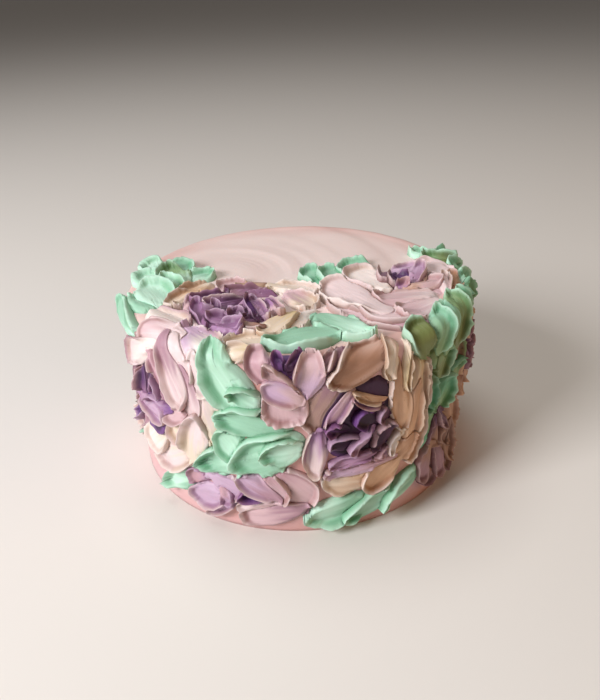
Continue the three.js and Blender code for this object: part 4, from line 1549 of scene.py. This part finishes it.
def back_rose_rows(rose, outer_paint, odd_paint, inner_paint):
    """All the rows of one rose: the outer ring, the bed, and two rings inside it."""
    azimuth, height, radius = rose
    low, high = height - BED_REACH * radius, height + BED_REACH * radius
    outer_ring, middle_ring, heart_ring = BACK_RINGS
    return [
        *ring_of_petals(rose, outer_ring, outer_paint, odd_paint),
        (azimuth, high, azimuth, low, radius, PAD, 0, inner_paint),
        *ring_of_petals(rose, middle_ring, inner_paint, odd_paint),
        *ring_of_petals(rose, heart_ring, inner_paint, inner_paint),
    ]


for number, (azimuth, height, radius, tone, *paints) in enumerate(BACK_ROSES, 1):
    make_piece(f"rose_back_{number}", tone, "wall", back_rose_rows((azimuth, height, radius), *paints))

# %% [markdown]
# Every gap between two of these roses has a bud of three strokes at the foot, and two leaves. A leaf
# leans to one side or the other by turns, so that the row doesn't look stamped.

# %% Buds and leaves of the side turned away
BACK_GAP = 22
BACK_BUD_HEIGHT = 15
BACK_LEAF_HEIGHTS = (68, 31)


def back_bud_rows(gap, low):
    """The three strokes of a bud, at an azimuth in degrees and a height in mm."""
    return [
        (gap - 3, low + 7, gap - 3, low - 7, 12, OUTER, 0, "orchid lilac lilac"),
        (gap - 1, low + 6, gap + 6, low - 6, 9, MIDDLE, 0, "thistle lilac shell"),
        (gap - 2, low + 7, gap + 2, low - 2, 6, HEART, 60, "violet orchid lilac"),
    ]


def back_leaf_row(gap, height, side):
    """The one stroke of a leaf that leans to a side, which is 1 or -1."""
    root, tip = gap - side * 8, gap + side * 9
    return (root, height - 8, tip, height + 6, 12, LEAF, side * 60, "mint mint palemint")


for number, (azimuth, *_) in enumerate(BACK_ROSES[:-1], 1):
    gap = azimuth + BACK_GAP
    make_piece(f"bud_back_{number}", "lilac", "wall", back_bud_rows(gap, BACK_BUD_HEIGHT))
    for place, height in enumerate(BACK_LEAF_HEIGHTS, 1):
        side = 1 if (number + place) % 2 else -1
        make_piece(f"leaf_back_{number}_{place}", "mint", "wall", [back_leaf_row(gap, height, side)])

# %% [markdown]
# Soft cream gives way to the knife: what a later stroke covers is pressed down under it. Without
# this, the lips of lower petals would stick up through the petals above them. Now that all strokes
# are laid, each point is held below every stroke that was written over its place later. The values
# that only this needed are then taken off the meshes, and the bench dabs are put away.

# %% Press down and clear the bench
COVER = 0.5


def covered_limit(bench, x, y, number):
    """The greatest height that later strokes leave to points of this bench."""
    limit = np.full(len(x), np.inf)
    for later, map_name, window, cells in laid_over:
        there = (x, y) if map_name == bench else other_bench(bench, x, y)
        row, column = place_in(map_name, window, *there)
        rows, columns = cells.shape
        inside = (row > 0) & (row < rows - 1) & (column > 0) & (column < columns - 1)
        inside &= number < later
        if inside.any():
            near = cells[np.rint(row[inside]).astype(int), np.rint(column[inside]).astype(int)]
            limit[inside] = np.minimum(limit[inside], near - COVER)
    return limit


def press_down(piece, bench):
    """Lowers the points of a piece that a later stroke covers."""
    points = points_of(piece)
    place, number = np.zeros(points.size), np.zeros(len(points))
    piece.data.attributes["bench_place"].data.foreach_get("vector", place)
    piece.data.attributes["stroke_number"].data.foreach_get("value", number)
    x, y, lift = place.reshape(-1, 3).T
    pressed = np.minimum(lift, covered_limit(bench, x, y, number))
    moved = pressed < lift
    points[moved] = settle(bench, x, y, np.maximum(pressed, -SINK))[moved] * MM
    piece.data.vertices.foreach_set("co", points.ravel())
    piece.data.update()
    return moved.sum()


pressed_points = 0
for piece, bench in knife_pieces:
    pressed_points += press_down(piece, bench)
    for name in ("bench_place", "stroke_number"):
        piece.data.attributes.remove(piece.data.attributes[name])
for ball, *_ in bench_dabs.values():
    bpy.data.objects.remove(ball)
print(pressed_points, "points pressed down in", len(knife_pieces), "pieces")
